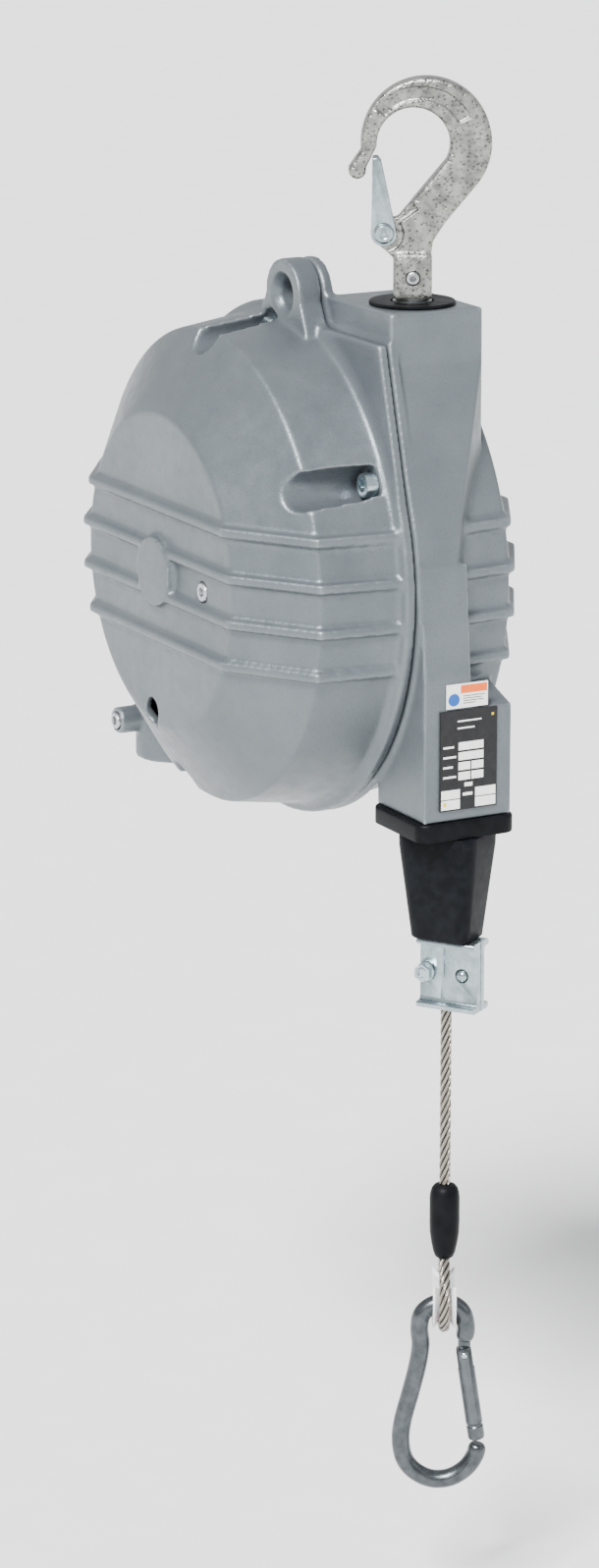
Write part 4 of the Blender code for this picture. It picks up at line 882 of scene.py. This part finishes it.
def makeRib(front, height):
    sign, (bendR, bendY), (faceR, faceY) = halfShape(front)
    high = casing["ribHigh"]
    spots = [
        (casing["bandR"] + high * 0.8, sign * 2.2), (bendR + high, bendY + sign * high * 0.4),
        (faceR + high * 0.4, faceY + sign * high),
    ]
    side = [(math.sqrt(r * r - height * height), y) for r, y in spots]
    low = height - casing["ribWide"] / 2
    outline = side + [(-x, y) for x, y in reversed(side)]
    return plate("rib", [(x, y, low) for x, y in outline], (0, 0, casing["ribWide"]))


def lugHole():
    x, z = casing["lug"]
    low, high = casing["lugSpan"]
    r, c = casing["lugHole"], casing["lugFace"]
    section = [
        (0, low - 1), (r + c + 1, low - 1), (r, low + c), (r, high - c), (r + c + 1, high + 1),
        (0, high + 1),
    ]
    return spun("lugHole", section, (x, 0, z), steps=48)


def commonParts(front):
    sign, _, (_, faceY) = halfShape(front)
    x, z = casing["lug"]
    foot = [(x + 24, 92.0), *arc((x, z), casing["lugR"], -5, 185, 40), (x - 29, 92.0)]
    low, high = casing["lugSpan"]
    wormX, wormY = casing["wormAt"]
    boss = sorted((faceY + sign * 3.5, faceY - sign * 1))
    parts = [
        prism("corner", cornerPlate, -4.3 if front else -6.0, 6.0 if front else 4.3),
        prism("lug", foot, low if front else -8.0, 8.0 if front else high),
        rod("wormBoss", casing["wormR"], *casing["wormSpan"], (wormX, wormY, 0), "Z", 72),
        rod("boss", casing["bossR"], *boss, steps=72),
    ]
    return parts + [makeRib(front, height) for height in casing["ribs"]]


def wormCuts():
    spot = (*casing["wormAt"], 0)
    return [rod("wormRoom", 13.8, -16, 16, spot, "Z"), rod("wormBore", 7.9, -120, 22, spot, "Z")]


def makeCover():
    cover = spun("coverCasting", shellSection(True), steps=192)
    parts = commonParts(True)
    parts.append(rod("plugBoss", 5.9, -36.1, -16, (plugX, 0, plugZ)))
    joined(cover, "UNION", parts)
    posts = [rod("post", 10.4, -55, 2, (x, 0, z)) for x, z in screwSpots]
    hollow = joined(spun("hollow", hollowSection(True), steps=192), "DIFFERENCE", posts)
    cuts = [hollow, lugHole(), *wormCuts()]
    for x, z in screwSpots:
        cuts.append(rod("pocket", casing["pocket"], -75, casing["seat"], (x, 0, z)))
        cuts.append(rod("screwHole", 3.3, -12, 6, (x, 0, z), steps=24))
    cuts += [
        rod("sight", 6.0, -70, -49.5, (sightX, 0, sightZ)),
        rod("grub", 4.3, -70, -49.5, (grubX, 0, grubZ)),
        rod("plug", 3.9, -60, -19.6, (plugX, 0, plugZ)),
        block("parting", (-200, -0.15, -200), (200, 40, 200)),
    ]
    joined(cover, "DIFFERENCE", cuts)
    return skinned(cover, casing["grain"], casing["passes"])


# the neck's rear leans in towards the hook side
def taperedNeck():
    neck = prism("neck", casing["neck"], 1.5, 44.0)
    edit(neck)
    bpy.ops.mesh.select_all(action="SELECT")
    spot, normal = casing["taper"]
    bpy.ops.mesh.bisect(plane_co=spot, plane_no=normal, use_fill=True, clear_outer=True)
    outwards()
    return leave()


def makeHousing():
    body = spun("housingCasting", shellSection(False), steps=192)
    parts = commonParts(False) + [taperedNeck()]
    parts.append(prism("middle", casing["middle"], 1.7, 23.5))
    parts.append(prism("guide", casing["guide"], 1.9, 42.5))
    joined(body, "UNION", parts)
    posts = [rod("post", 6.0, -2, 15, (x, 0, z)) for x, z in screwSpots]
    hollow = joined(spun("hollow", hollowSection(False), steps=192), "DIFFERENCE", posts)
    cuts = [hollow, lugHole(), *wormCuts()]
    cuts += [rod("thread", 3.3, -6, 12.5, (x, 0, z), steps=24) for x, z in screwSpots]
    cuts += [
        rod("stemBore", 8.3, 93, 119, stemLine, "Z"),
        rod("stemRoom", 15.5, 60, 98.5, stemLine, "Z"),
        block("ropeRoom", (78, 6.5, -72), (107, 38.5, -46)),
        block("ropeUpper", (78, 9.5, -50), (105, 20.9, -24)),
        rod("mouth", 12.3, -95, -60, ropeLine, "Z"),
        block("parting", (-200, -40, -200), (200, 0.15, 200)),
    ]
    joined(body, "DIFFERENCE", cuts)
    return skinned(body, casing["grain"], casing["passes"])


settle(makeCover(), "casing", [cast], ["front_cover"], angle=60)
print("front cover cast")
settle(makeHousing(), "casing", [cast], ["main_housing"], angle=60)
print("housing cast")


# screws, plug, washer and collar on the casing
screw = {"head": 5.0, "high": 5.3, "shank": 3.0, "reach": 9.7, "socket": 2.5, "deep": 2.8}


def makeScrew(name, x, z):
    head, shank, reach = screw["head"], screw["shank"], screw["reach"]
    seat = casing["seat"]
    top = seat - screw["high"]
    body = spun(name, [
        (0, top), (4.3, top), (4.8, top + 0.25), (head, top + 0.8), (head, seat - 0.3),
        (shank, seat - 0.3), (shank, reach - 0.6), (2.4, reach), (0, reach),
    ], (x, 0, z), steps=40)
    socket = hexagon("socket", screw["socket"], top - 1, top + screw["deep"], (x, 0, z))
    joined(body, "DIFFERENCE", [socket])
    return rounded(body, 0.15, 2, 40)


for index, (x, z) in enumerate(screwSpots, 1):
    piece = makeScrew(f"coverScrew{index}", x, z)
    settle(piece, "casing", [zinc], [f"cover_screw_{index}"])


# radius, rim, foot, face and the depth of the socket
def makePlug(name, centre, radius, rim, foot, face, deep):
    piece = spun(name, [
        (0, foot), (radius, foot), (radius, face + 0.5), (radius - 0.4, face), (rim, face),
        (0, face),
    ], centre, steps=40)
    joined(piece, "DIFFERENCE", [hexagon("socket", 1.9, face - 2.5, face + deep, centre)])
    return rounded(piece, 0.12)


setScrew = makePlug("setScrew", (grubX, 0, grubZ), 4.0, 2.6, -54, -61.7, 3.0)
settle(setScrew, "casing", [steel], ["set_screw"])
lockPlug = makePlug("lockPlug", (plugX, 0, plugZ), 3.6, 2.5, -22.5, -37.1, 3.5)
settle(lockPlug, "casing", [steel], ["lock_plug"])

washerShape = [
    (8.7, 113.8), (17.3, 113.8), (17.6, 114.1), (17.6, 114.7), (17.2, 115.1), (9.1, 115.1),
    (8.7, 114.8), (8.7, 113.8),
]
neckWasher = spun("neckWasher", washerShape, stemLine, "Z", 96)
settle(neckWasher, "casing", [plastic], ["neck_washer"])

# the collar rises in three steps: how far, and how much narrower the next one is
collar = {
    "middle": (91.5, 22), "wide": 21.5, "deep": 22.5, "corner": 6.0, "foot": -97.8,
    "rises": ((5.6, 1.0), (0.9, 1.0), (1.0, 0.985)), "bore": 4.2,
}


def makeCollar():
    middle = collar["middle"]
    chain(cornerLoop(collar["wide"], collar["deep"], collar["corner"], collar["foot"], 10, middle))
    bpy.ops.mesh.edge_face_add()
    for rise, ratio in collar["rises"]:
        bpy.ops.mesh.extrude_region_move(TRANSFORM_OT_translate={"value": (0, 0, rise)})
        bpy.ops.transform.resize(value=(ratio, ratio, 1), center_override=(*middle, 0))
    outwards()
    piece = leave("guideCollar")
    joined(piece, "DIFFERENCE", [rod("bore", collar["bore"], -105, -85, ropeLine, "Z")])
    return rounded(piece, 0.5, 2, 40)


settle(makeCollar(), "casing", [plastic], ["guide_collar"])
print("casing fittings made")

# the forged hook, in its own plane: u across, v up from the foot of its shank
hook = {
    "root": [(-7.3, 17.0), (7.3, 17.0), (8.1, 24.0), (13.0, 31.5)], "throat": (-6.0, 33.5),
    "outer": ((5.2, 63.3), 26.3), "inner": ((0.0, 62.9), 14.6), "knob": ((-22.4, 52.6), 3.6),
    "pivot": (-11.7, 27.2), "ear": 5.2, "earThick": 7.0, "thick": 12.0, "edge": 2.2,
    "shank": 7.8, "high": 20.0, "pinAt": 9.5,
    "badge": ((2.6, 63.1), 17.6, 23.2, 28, 142), "badgeDeep": 1.1,
}


def makeHook():
    outline = hook["root"] + arc(*hook["outer"], -37, 186, 64) + arc(*hook["knob"], 170, 375, 16)
    outline += arc(*hook["inner"], 183, -27, 48) + [hook["throat"]]
    outline += arc(hook["pivot"], hook["ear"], 95, 245, 18)
    half = hook["thick"] / 2
    body = rounded(prism("forgedHook", outline, -half, half), hook["edge"], 4, 40)
    side = hook["shank"]
    shank = rounded(block("shank", (-side, -side, 0), (side, side, hook["high"])), 2.6, 3, 40)
    joined(body, "UNION", [shank])
    px, pz = hook["pivot"]
    cuts = []
    for face in (-1, 1):
        near, far = sorted((face * hook["earThick"] / 2, face * 20))
        cuts.append(rod("cheek", hook["ear"] + 2.8, near, far, (px, 0, pz)))
        cuts.append(prism("fan", [(px, pz), *arc((px, pz), 17.0, 35, 105, 24)], near + 0.01, far))
        middle, inner, outer, low, high = hook["badge"]
        band = arc(middle, outer, low, high, 32) + arc(middle, inner, high, low, 32)
        skin = sorted((face * (half - hook["badgeDeep"]), face * (half + 3)))
        cuts.append(prism("badge", band, *skin))
    cuts += [
        rod("rivetHole", 2.6, -20, 20, (px, 0, pz)),
        rod("pinHole", 2.85, -20, 20, (0, 0, hook["pinAt"])),
        rod("bore", 5.3, -5, 17, axis="Z"),
    ]
    joined(body, "DIFFERENCE", cuts)
    return skinned(body, 0.5, 5)


latch = {"lean": 96, "long": 30.5, "half": 5.2, "gap": 3.8}


def makeLatch():
    lean, ear = math.radians(latch["lean"]), hook["ear"]
    along = Vector((math.cos(lean), math.sin(lean)))
    across = Vector((math.sin(lean), -math.cos(lean)))
    tip = along * latch["long"]
    outline = [
        *arc((0, 0), ear, 196, 356, 24), tip + across * 2.0 - along * 2.0, tip + across * 0.8,
        tip - across * 1.4,
    ]
    inner = [
        (12.0, -9.0), tip + across * 12.0 + along * 4.0, tip - across * 0.2 + along * 4.0,
        tip * 0.5 - across * 1.6, tip * 0.25 - across * 2.2, (-ear - 3.0, 5.0), (-ear - 3.0, -9.0),
    ]
    piece = prism("latchPlate", outline, -latch["half"], latch["half"])
    slot = prism("slot", inner, -latch["gap"], latch["gap"])
    joined(piece, "DIFFERENCE", [slot, rod("bore", 2.5, -20, 20)])
    return rounded(piece, 0.35, 3, 30)


px, pz = hook["pivot"]
settle(makeHook(), "hook", [forged], ["top_hook"], hookTurn, hookLine, 60)
pivotSpot = hookLine + Matrix.Rotation(hookTurn, 3, "Z") @ Vector((px, 0, pz))
settle(makeLatch(), "latch", [zinc], ["hook_latch"], hookTurn, pivotSpot)
rivetShape = [
    (0, 6.9), (1.0, 6.9), (1.3, 6.6), (1.7, 6.6), (2.1, 6.85), (3.2, 6.8), (3.9, 6.3), (4.2, 5.7),
    (4.2, 5.5), (2.4, 5.5), (2.4, 0),
]
rivetWhole = rivetShape + [(r, -y) for r, y in reversed(rivetShape[:-1])]
latchRivet = spun("latchRivet", rivetWhole, (px, 0, pz), steps=48)
settle(latchRivet, "hook", [zinc], ["latch_rivet"], hookTurn, hookLine)
pinTube = [
    (1.4, -8.6), (2.1, -8.6), (2.45, -8.4), (2.7, -7.9), (2.7, 7.9), (2.45, 8.4), (2.1, 8.6),
    (1.4, 8.6), (1.4, -8.6),
]
rollPin = spun("rollPin", pinTube, (0, 0, hook["pinAt"]), steps=40)
settle(rollPin, "hook", [steel], ["hook_pin"], hookTurn, hookLine)
print("hook forged")


# printed plate and sticker: the face is cut along its fields' edges, then each field is inked
# a field is left, right, top and bottom as parts of the face, and its ink
def printed(name, low, high, fields, inks, body, node):
    piece = block(name, low, high)
    edit(piece)
    spanY, spanZ = high[1] - low[1], high[2] - low[2]
    fields = [
        (low[1] + a * spanY, high[2] - d * spanZ, low[1] + b * spanY, high[2] - c * spanZ, ink)
        for a, b, c, d, ink in fields
    ]
    for axis, ends in ((1, (0, 2)), (2, (1, 3))):
        for line in sorted({round(field[end], 4) for field in fields for end in ends}):
            if low[axis] + 0.01 < line < high[axis] - 0.01:
                bpy.ops.mesh.select_all(action="SELECT")
                spot, normal = [0.0] * 3, [0.0] * 3
                spot[axis], normal[axis] = line, 1.0
                bpy.ops.mesh.bisect(plane_co=spot, plane_no=normal)
    mesh = bmesh.from_edit_mesh(piece.data)
    for face in mesh.faces:
        middle = face.calc_center_median()
        for left, bottom, right, top, ink in fields:
            if face.normal.x > 0.5 and left < middle.y < right and bottom < middle.z < top:
                face.material_index = ink
    bmesh.update_edit_mesh(piece.data)
    leave()
    kept = [polygon.material_index for polygon in piece.data.polygons]
    settle(piece, body, inks, [node])
    for polygon, ink in zip(piece.data.polygons, kept):
        polygon.material_index = ink
    return piece


plateFields = [
    (0.32, 0.76, 0.32, 0.4, 1), (0.32, 0.76, 0.42, 0.5, 1),
    (0.32, 0.53, 0.52, 0.6, 1), (0.55, 0.76, 0.52, 0.6, 1),
    (0.32, 0.53, 0.62, 0.7, 1), (0.55, 0.76, 0.62, 0.7, 1),
    (0.05, 0.24, 0.35, 0.37, 1), (0.05, 0.28, 0.45, 0.47, 1),
    (0.05, 0.22, 0.55, 0.57, 1), (0.05, 0.28, 0.65, 0.67, 1),
    (0.43, 0.57, 0.73, 0.77, 1), (0.02, 0.98, 0.79, 0.985, 1),
    (0.35, 0.62, 0.79, 0.985, 0), (0.4, 0.57, 0.83, 0.86, 1),
    (0.02, 0.98, 0.88, 0.89, 0), (0.06, 0.11, 0.91, 0.95, 2),
    (0.9, 0.94, 0.06, 0.085, 2), (0.3, 0.72, 0.1, 0.115, 1), (0.3, 0.6, 0.17, 0.185, 1),
]
stickerLines = ((0.52, 0.5), (0.46, 0.6), (0.5, 0.7), (0.3, 0.8))
stickerFields = [(0.34, 0.98, 0.06, 0.4, 1)]
stickerFields += [(0.4, 0.4 + wide, top, top + 0.035, 2) for wide, top in stickerLines]
printed(
    "ratingPlate", (111.3, 8.7, -85.5), (111.9, 35.0, -44.0), plateFields,
    [plateBlack, printWhite, printYellow], "casing", "rating_plate",
)
printed(
    "cautionSticker", (111.3, 11.5, -43.0), (111.9, 30.5, -33.0), stickerFields,
    [printWhite, printOrange, plateBlack], "casing", "caution_label",
)
discShape = [(0, 0.62), (2.6, 0.62), (2.6, 0.68), (0, 0.68)]
disc = spun("cautionDisc", discShape, (111.3, 14.8, -39.4), "X", 48)
settle(disc, "casing", [printBlue])
print("labels printed")


# floor and soft studio light: a key from the upper left of the camera, a panel at its right
studio = {
    "floor": -0.64, "wide": 60.0, "sky": 0.85, "tint": (0.96, 0.98, 1.0), "drop": -0.2,
    "sun": 9.0, "soft": 18, "key": (1.3, -0.55, 1.5), "side": 3.0, "size": 0.8,
    "panel": (0.5, 1.5, 0.5),
}


def makeStudio():
    clearChoice()
    bpy.ops.mesh.primitive_plane_add(size=studio["wide"], location=(0, 0, studio["floor"]))
    floor = bpy.context.object
    floor.name = "floor"
    paint = makeMoulded("paleFloor", (0.86, 0.86, 0.85), (0.88, 0.88, 0.87), 0.7, 3, 0.02)
    floor.data.materials.append(paint.material)
    world = bpy.data.worlds.new("studio")
    world.use_nodes = True
    sky = world.node_tree.nodes["Background"]
    sky.inputs[0].default_value = (*studio["tint"], 1)
    sky.inputs[1].default_value = studio["sky"]
    bpy.context.scene.world = world
    turn = math.radians(camera["turn"])
    right = Vector((math.cos(turn), math.sin(turn), 0))
    near = Vector((math.sin(turn), -math.cos(turn), 0))
    for name, kind, power, (close, aside, rise) in (
        ("key", "SUN", studio["sun"], studio["key"]),
        ("side", "AREA", studio["side"], studio["panel"]),
    ):
        data = bpy.data.lights.new(name, kind)
        data.energy = power
        if kind == "SUN":
            data.angle = math.radians(studio["soft"])
        else:
            data.size = studio["size"]
        lamp = bpy.data.objects.new(name, data)
        bpy.context.scene.collection.objects.link(lamp)
        spot = near * close + right * aside + Vector((0, 0, rise))
        lamp.location = spot + Vector((0, 0, studio["drop"]))
        lamp.rotation_euler = (-spot).to_track_quat("-Z", "Y").to_euler()


makeStudio()
print("studio lit")
